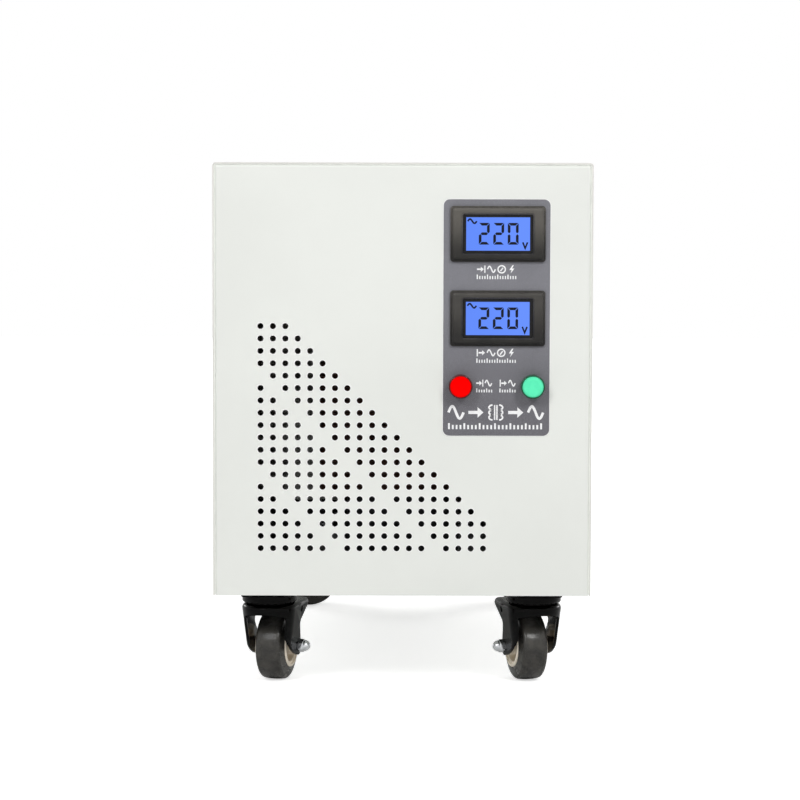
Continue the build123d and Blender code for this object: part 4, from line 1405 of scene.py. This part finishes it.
@dataclass
class Meter:
    """Panel meter: a moulded case round a backlit display with three digits."""

    name: str
    reading: str = "220"
    # painted light and shade: the case is lighter at its top and darker at its bottom
    painted_lit_top: Colour = tint(90, 87, 82)
    painted_shaded_bottom: Colour = tint(34, 33, 31)
    shade_low: float = 3.0
    shade_high: float = 6.0
    pane_width: float = 51.2
    pane_height: float = 26.7
    pane_sheet: float = 0.2
    chamfer: float = 0.08
    ink: float = 0.04
    digit_left: tuple[float, ...] = (-15.5, -3.9, 7.7)
    digit_width: float = 8.7
    digit_low: float = -8.5
    digit_height: float = 17.4
    segment: float = 2.15
    gap: float = 0.3
    line: float = 1.35
    unit: tuple[Point, ...] = ((19.8, -6.6), (21.7, -11.4), (23.6, -6.6))
    wave: tuple[float, float, float, float] = (-24.4, 10.2, 7.2, 1.7)
    wave_steps: int = 16

    def build(self) -> None:
        """Dresses the case and the display, and adds the pane and what it shows."""
        low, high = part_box(f"meter_{self.name}_housing")
        # the case is painted lighter above and darker below, with dark edges painted as shade
        dress(f"meter_{self.name}_housing", replace(
            CASE_PLASTIC, name=f"{self.name} meter case with painted light", base=self.painted_lit_top, second=self.painted_shaded_bottom,
            edge=0.8, fade=(low.z + self.shade_low * MM, high.z - self.shade_high * MM)))
        dress(f"meter_{self.name}_display", MODULE_PLASTIC)
        self.pane()
        self.figures()

    def face(self, lift: float) -> Matrix:
        """Finds the place that lies some millimetres in front of the middle of the display."""
        low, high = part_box(f"meter_{self.name}_display")
        return at_front((low.x + high.x) / 2, low.y - lift * MM, (low.z + high.z) / 2)

    def pane(self) -> None:
        """Adds the lit pane with a fine chamfer."""
        low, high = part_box(f"meter_{self.name}_display")
        middle = (low.x + high.x) / 2
        half = self.pane_width * MM / 2
        form = Form()
        loops = []
        for inset, z in ((0.0, 0.0), (0.0, self.pane_sheet * 0.6), (self.chamfer, self.pane_sheet)):
            x, y = self.pane_width / 2 - inset, self.pane_height / 2 - inset
            loops.append([Vector((-x, -y, z)), Vector((x, -y, z)), Vector((x, y, z)), Vector((-x, y, z))])
        form.skin(loops, self.face(0.0))
        glass = LitPane(f"lit pane {self.name}", tint(97, 138, 247), tint(104, 145, 255), middle - half,
                        middle + half)
        make_piece(f"meter_{self.name}_pane", form, [glass], "display")

    def segments(self, digit: str) -> list[Path]:
        """Outlines the lit segments of a digit.

        Args:
            digit: 0 or 2.

        Returns:
            The outlines, from the digit's lower left corner.
        """
        w, h, t, g = self.digit_width, self.digit_height, self.segment, self.gap
        mid = h / 2
        upper = [(0, h - g), (t, h - t - g), (t, mid + t / 2 + g), (t / 2, mid + g), (0, mid + t / 2 + g)]
        shapes = {
            "top": [(g, h), (t + g, h - t), (w - t - g, h - t), (w - g, h)],
            "middle": [(t / 2 + g, mid), (t + g, mid + t / 2), (w - t - g, mid + t / 2), (w - t / 2 - g, mid),
                       (w - t - g, mid - t / 2), (t + g, mid - t / 2)],
            "bottom": [(g, 0), (w - g, 0), (w - t - g, t), (t + g, t)],
            "upper_left": upper,
            "upper_right": [(w - x, y) for x, y in upper],
            "lower_left": [(x, h - y) for x, y in upper],
            "lower_right": [(w - x, h - y) for x, y in upper],
        }
        lit = {"0": "top upper_left upper_right lower_left lower_right bottom",
               "2": "top upper_right middle lower_left bottom"}[digit]
        return [shapes[name] for name in lit.split()]

    def figures(self) -> None:
        """Adds the digits, the unit and the alternating current mark."""
        form = Form()
        place = self.face(self.pane_sheet)
        for left, digit in zip(self.digit_left, self.reading):
            for outline in self.segments(digit):
                form.prism([(left + x, self.digit_low + y) for x, y in outline], 0.0, self.ink, place)
        for path in (self.unit, wave(*self.wave, self.wave_steps)):
            form.bar(path, self.line, 0.0, self.ink, place)
        make_piece(f"meter_{self.name}_figures", form, [SEGMENT_INK], "display")


class LampColour(Enum):
    """Colours of the two indicator lamps."""

    RED = "red"
    GREEN = "green"


# each rim is painted darker than its face, as shade
LAMP_FINISHES = {       # the face, then the rim
    LampColour.RED: (
        LampPlastic("red lamp face", tint(236, 1, 0), tint(228, 0, 0), tint(255, 0, 0), 0.3, 0.3, 0.02),
        LampPlastic("red lamp rim", tint(92, 2, 2), tint(70, 0, 0), tint(60, 0, 0), 0.02, 0.12, 0.35)),
    LampColour.GREEN: (
        LampPlastic("green lamp face", tint(98, 238, 186), tint(90, 231, 178), tint(74, 240, 172), 0.1, 0.3,
                    0.12),
        LampPlastic("green lamp rim", tint(4, 88, 56), tint(2, 70, 44), tint(0, 70, 44), 0.03, 0.12, 0.35)),
}


@dataclass
class IndicatorLamp:
    """Indicator lamp: a glossy cap with a bright face inside a rim painted deeper as shade."""

    colour: LampColour
    rim: float = 1.15
    groove: float = 0.35
    groove_rise: float = 0.12
    shoulder: float = 0.75
    lip: float = 0.06
    lip_width: float = 0.1
    dish: float = 0.8
    crown: float = 0.62
    draft: float = 0.01
    steps: int = 96

    def build(self) -> None:
        """Dresses the holder and turns the cap."""
        name = self.colour.value
        dress(f"lamp_{name}_holder", CASE_PLASTIC)
        low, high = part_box(f"lamp_{name}_lens")
        middle = (low + high) / 2
        radius = (high.x - low.x) / MM / 2
        proud = (high.y - low.y) / MM
        inner = radius - self.rim
        place = at_front(middle.x, high.y, middle.z)
        shoulder, floor = self.shoulder, proud - self.dish
        roll = [(radius - shoulder + shoulder * math.cos(a), proud - shoulder + shoulder * math.sin(a))
                for a in (math.pi / 2 * i / 6 for i in range(7))]
        rim = [(0, 0), (radius, 0)] + roll + [(inner + self.lip_width, proud - self.lip), (inner, floor)]
        dome = inner - self.groove
        face = [(inner - self.draft, floor), (dome, floor + self.groove_rise)]
        face += [(dome * math.cos(a), floor + self.groove_rise + self.crown * math.sin(a))
                 for a in (math.pi / 2 * i / 10 for i in range(1, 10))]
        face += [(0, floor + self.groove_rise + self.crown)]
        form = Form()
        form.lathe(rim + face, place, self.steps)
        form.mesh.faces.ensure_lookup_table()
        for index, facet in enumerate(form.mesh.faces):
            facet.material_index = 0 if index // self.steps >= len(rim) - 1 else 1
        make_piece(f"lamp_{name}_cap", form, LAMP_FINISHES[self.colour], f"lens_{name}", f"lamp_{name}_lens")


# ---- casters ----

@dataclass
class Caster:
    """Swivel caster: pressed plate and fork, moulded hub, rubber tyre, bolt and cap nut."""

    name: str
    edge_round: float = 0.35
    tooth_round: float = 0.25

    def build(self) -> None:
        """Dresses the caster's nodes."""
        for part, finish in (("plate", CASTER_PAINT), ("fork", CASTER_PAINT), ("axle", ZINC),
                             ("cap_nut", CHROME), ("hub", HUB_PLASTIC), ("tyre", TYRE_RUBBER)):
            dress(f"caster_{self.name}_{part}", finish)
        for part, width in (("fork", self.edge_round), ("plate", self.tooth_round),
                            ("hub", self.tooth_round)):
            soften(f"caster_{self.name}_{part}", width)


# ---- inside ----

@dataclass
class Windings:
    """One phase's coil: turns of enamelled wire between two pressboard cheeks."""

    name: str
    wire: float = 2.5
    build_up: float = 27.0
    corner: float = 14.0
    cheek: float = 3.0
    cheek_lip: float = 2.0
    hole_corner: float = 0.5
    bulge: float = 0.42
    steps: int = 6

    def outline(self, half_x: float, half_y: float, corner: float, z: float) -> list[Vector]:
        """Draws a rectangle with round corners at a height."""
        return [Vector((x, y, z)) for x, y in round_rectangle(half_x, half_y, corner, corner)]

    def build(self) -> None:
        """Adds the turns and the cheeks in place of the plain block."""
        node = f"coil_{self.name}"
        low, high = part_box(node)
        middle = (low + high) / 2
        half_x, half_y = (high.x - low.x) / MM / 2, (high.y - low.y) / MM / 2
        height = (high.z - low.z) / MM
        place = Matrix.Translation((middle.x, middle.y, low.z)) @ Matrix.Scale(MM, 4)
        wide_x, wide_y = half_x - self.cheek_lip, half_y - self.cheek_lip
        hole = (wide_x - self.build_up, wide_y - self.build_up, self.hole_corner)
        edge = (half_x, half_y, self.cheek_lip)
        form = Form()
        for base in (0.0, height - self.cheek):
            top = base + self.cheek
            loops = [self.outline(*size, z)
                     for size, z in ((hole, base), (edge, base), (edge, top), (hole, top))]
            form.skin(loops, place, wrap=True, look=1)
        room = height - 2 * self.cheek
        turns = round(room / self.wire)
        pitch = room / turns
        bulge = self.bulge * self.wire
        loops = [self.outline(*hole, self.cheek)]
        for turn in range(turns):
            for i in range(self.steps):
                angle = math.pi * i / self.steps
                out = bulge * math.sin(angle) - bulge
                loops.append(self.outline(wide_x + out, wide_y + out, self.corner + out,
                                          self.cheek + pitch * (turn + (1 - math.cos(angle)) / 2)))
        loops.append(self.outline(wide_x - bulge, wide_y - bulge, self.corner - bulge, height - self.cheek))
        loops.append(self.outline(*hole, height - self.cheek))
        form.skin(loops, place, wrap=True)
        make_piece(f"winding_{self.name}", form, [WIRE, BOARD], "winding", node)


@dataclass
class Inside:
    """Core, clamps, terminals and the fasteners that hold them."""

    phases: tuple[str, ...] = ("front", "middle", "rear")

    def build(self) -> None:
        """Dresses the nodes and winds the coils."""
        dress("core", CORE_STEEL)
        for level in ("lower", "upper"):
            for side in ("left", "right"):
                dress(f"clamp_{level}_{side}", CLAMP_PAINT)
        for node in ("clamp_bolts", "foot_bolts", "m8_nuts", "m6_nuts", "terminal_screws", "caster_kingpins"):
            dress(node, ZINC)
        dress("caster_bolts", CASTER_PAINT)
        for node in ("terminal_block", "meter_clips", "lamp_nuts"):
            dress(node, CASE_PLASTIC)
        dress("caster_balls", CHROME)
        for name in self.phases:
            Windings(name).build()


# ---- rear fittings ----

@dataclass
class RearFittings:
    """Rubber rings of the cable entries and the threaded earth stud."""

    thread: float = 6.0
    pitch: float = 1.0
    depth: float = 0.6
    flats: float = 10.0
    collar: float = 4.0
    collar_edge: float = 0.35
    corners: Pair = (1.06, 1.155)
    inner: float = 7.7
    tip: float = 0.5
    taper: float = 0.8
    start: float = 0.2
    rows: int = 8
    steps: int = 36

    def build(self) -> None:
        """Dresses the rings and cuts the stud's thread."""
        dress("cable_grommets", GROMMET_RUBBER)
        self.stud()

    def stud(self) -> None:
        """Adds the stud with its thread and its hexagon collar."""
        low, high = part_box("earth_stud")
        reach = (high.y - low.y) / MM
        seat = high.y - (reach - self.inner) * MM
        middle = (low + high) / 2
        turn = Vector((0, 1, 0)).to_track_quat("Z", "Y").to_matrix().to_4x4()
        place = Matrix.Translation((middle.x, seat, middle.z)) @ turn @ Matrix.Scale(MM, 4)
        form = Form()
        self.threaded(form, -self.inner, 0.0, place)
        self.threaded(form, self.collar, reach - self.inner, place)
        loops = []
        worn, corner = self.corners
        for limit, z in ((worn, 0.0), (corner, self.collar_edge), (corner, self.collar - self.collar_edge),
                         (worn, self.collar)):
            loop = []
            for angle in full_turn(2 * self.steps):
                flat = self.flats / 2 / math.cos((angle + math.pi / 6) % (math.pi / 3) - math.pi / 6)
                radius = min(flat, self.flats / 2 * limit)
                loop.append(round_axis(radius, angle, z))
            loops.append(loop)
        form.skin(loops, place)
        make_piece("earth_stud_threaded", form, [BRASS], "brass", "earth_stud")

    def threaded(self, form: Form, start: float, end: float, place: Matrix) -> None:
        """Adds a length of thread between two heights.

        Args:
            form: what it is added to.
            start: lower end, in millimetres.
            end: upper end, in millimetres.
            place: where it goes.
        """
        rows = round((end - start) / self.pitch * self.rows)
        outer = self.thread / 2
        loops = []
        for row in range(rows + 1):
            z = start + (end - start) * row / rows
            fade = min(1.0, (end - z) / self.pitch, (z - start) / self.pitch + self.start)
            loop = []
            for angle in full_turn(self.steps):
                phase = (z / self.pitch - angle / (2 * math.pi)) % 1.0
                cut = self.depth * (1 - abs(2 * phase - 1)) * fade
                top = outer - max(0.0, self.tip - (end - z)) * self.taper
                radius = min(outer - cut, top)
                loop.append(round_axis(radius, angle, z))
            loops.append(loop)
        form.skin(loops, place)


# ---- studio ----

@dataclass(frozen=True)
class Softbox:
    """A soft rectangular lamp that looks at the object."""

    name: str
    azimuth: float
    elevation: float
    distance: float
    width: float
    height: float
    share: float

    def build(self, target: Vector) -> None:
        """Adds the lamp.

        Args:
            target: what it looks at, in metres.
        """
        turn, rise = math.radians(self.azimuth), math.radians(self.elevation)
        away = Vector((math.sin(turn) * math.cos(rise), -math.cos(turn) * math.cos(rise), math.sin(rise)))
        data = bpy.data.lights.new(self.name, "AREA")
        data.shape = "RECTANGLE"
        data.size = self.width
        data.size_y = self.height
        data.energy = 4 * math.pi * self.share * self.distance ** 2
        lamp = add_object(self.name, data)
        lamp.location = target + away * self.distance
        lamp.rotation_euler = away.to_track_quat("Z", "Y").to_euler()
        lamp.visible_camera = False
        LOG.info("lamp %s at %s", self.name, tuple(round(v, 2) for v in lamp.location))


@dataclass
class Studio:
    """Pale floor, plain white surroundings and soft lamps."""

    floor_half: float = 5.0
    floor_sheet: float = 0.02
    aim: float = 0.2
    floor_colour: Colour = (0.86, 0.86, 0.86, 1.0)
    sky_colour: Colour = (1.0, 1.0, 1.0, 1.0)
    near: float = 0.75
    far: float = 2.2
    near_glow: float = 0.58
    sky: float = 0.2
    lamps: tuple[Softbox, ...] = (
        Softbox("left lamp", -30.0, 30.0, 2.6, 0.6, 0.8, 0.21),
        Softbox("right lamp", 30.0, 34.0, 2.6, 0.6, 0.8, 0.272),
        Softbox("top lamp", 0.0, 84.0, 2.6, 2.2, 2.2, 0.16),
        Softbox("rear left lamp", 228.0, 20.0, 3.0, 1.2, 1.2, 0.28),
        Softbox("rear right lamp", 130.0, 20.0, 3.0, 1.2, 1.2, 0.28),
    )

    def build(self) -> None:
        """Adds the floor, the surroundings and the lamps."""
        self.floor()
        self.surroundings()
        target = Vector((0, (cad_low.y + cad_high.y) / 2, self.aim))
        for lamp in self.lamps:
            lamp.build(target)

    def floor(self) -> None:
        """Adds the floor, which stays pale far out and keeps the object's shadow."""
        form = Form()
        half = self.floor_half
        square = [(-half, -half), (half, -half), (half, half), (-half, half)]
        form.prism(square, -self.floor_sheet, 0.0, Matrix.Identity(4))
        floor = add_object("floor", form.to_mesh("floor"))
        made = bpy.data.materials.new("studio floor")
        made.use_nodes = True
        graph = Graph(made.node_tree)
        length = graph.make("ShaderNodeVectorMath", "Value", {0: graph.where()}, operation="LENGTH")
        amount = graph.ramp(length, self.near, self.far, self.near_glow, 1.0)
        seen = graph.make("ShaderNodeLightPath", "Is Camera Ray", {})
        matt = graph.make("ShaderNodeBsdfDiffuse", "BSDF", {"Color": self.floor_colour})
        strength = graph.calc("MULTIPLY", amount, seen)
        glow = graph.make("ShaderNodeEmission", "Emission", {"Strength": strength})
        both = graph.make("ShaderNodeAddShader", "Shader", {0: matt, 1: glow})
        graph.put(graph.add("ShaderNodeOutputMaterial").inputs["Surface"], both)
        floor.data.materials.append(made)

    def surroundings(self) -> None:
        """Makes the world white where it is seen and softer where it lights."""
        world = bpy.data.worlds.new("studio")
        bpy.context.scene.world = world
        world.use_nodes = True
        graph = Graph(world.node_tree)
        path = graph.add("ShaderNodeLightPath")
        seen = graph.calc("MAXIMUM", path.outputs["Is Camera Ray"],
                          graph.calc("MAXIMUM", path.outputs["Is Glossy Ray"],
                                     path.outputs["Is Transmission Ray"]))
        strength = graph.ramp(seen, 0.0, 1.0, self.sky, 1.0)
        given = {"Color": self.sky_colour, "Strength": strength}
        sky = graph.make("ShaderNodeBackground", "Background", given)
        graph.put(graph.add("ShaderNodeOutputWorld").inputs["Surface"], sky)


@dataclass(frozen=True)
class Viewpoint:
    """Long lens in front of the cabinet, a little above its top, in millimetres and degrees."""

    side: float = -9.4
    before: float = 2250.0
    height: float = 411.5
    pitch: float = 4.4
    yaw: float = 0.19
    roll: float = 0.15
    lens: float = 125.9
    sensor: float = 36.0
    reach: float = 50.0

    def build(self) -> None:
        """Adds the camera and makes it the scene's own."""
        yaw, pitch, roll = (math.radians(a) for a in (self.yaw, self.pitch, self.roll))
        ahead = Vector((math.sin(yaw) * math.cos(pitch), math.cos(yaw) * math.cos(pitch), -math.sin(pitch)))
        right = Vector((math.cos(yaw), -math.sin(yaw), 0))
        up = right.cross(ahead)
        right, up = (right * math.cos(roll) + up * math.sin(roll),
                     up * math.cos(roll) - right * math.sin(roll))
        data = bpy.data.cameras.new("camera")
        data.sensor_width = self.sensor
        data.lens = self.lens
        data.clip_end = self.reach
        camera = add_object("camera", data)
        turn = Matrix((right, up, -ahead)).transposed().to_4x4()
        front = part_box("front_panel")[0].y
        place = (self.side * MM, front - self.before * MM, self.height * MM)
        camera.matrix_world = Matrix.Translation(place) @ turn
        bpy.context.scene.camera = camera


def main() -> None:
    """Builds the studio and every sub-assembly in order."""
    logging.basicConfig(level=logging.INFO, format="%(message)s")
    bpy.context.scene.view_settings.view_transform = "Standard"
    Viewpoint().build()
    Studio().build()
    Cabinet().build()
    ScrewSet().build()
    LabelPlate().build()
    Meter("upper").build()
    # the lower meter's case is painted darker, as a shaded copy of the upper one
    Meter("lower", painted_lit_top=tint(66, 64, 61), painted_shaded_bottom=tint(30, 29, 28)).build()
    for colour in LampColour:
        IndicatorLamp(colour).build()
    for row in ("front", "rear"):
        for side in ("left", "right"):
            Caster(f"{row}_{side}").build()
    Inside().build()
    RearFittings().build()


if __name__ == "__main__":
    main()
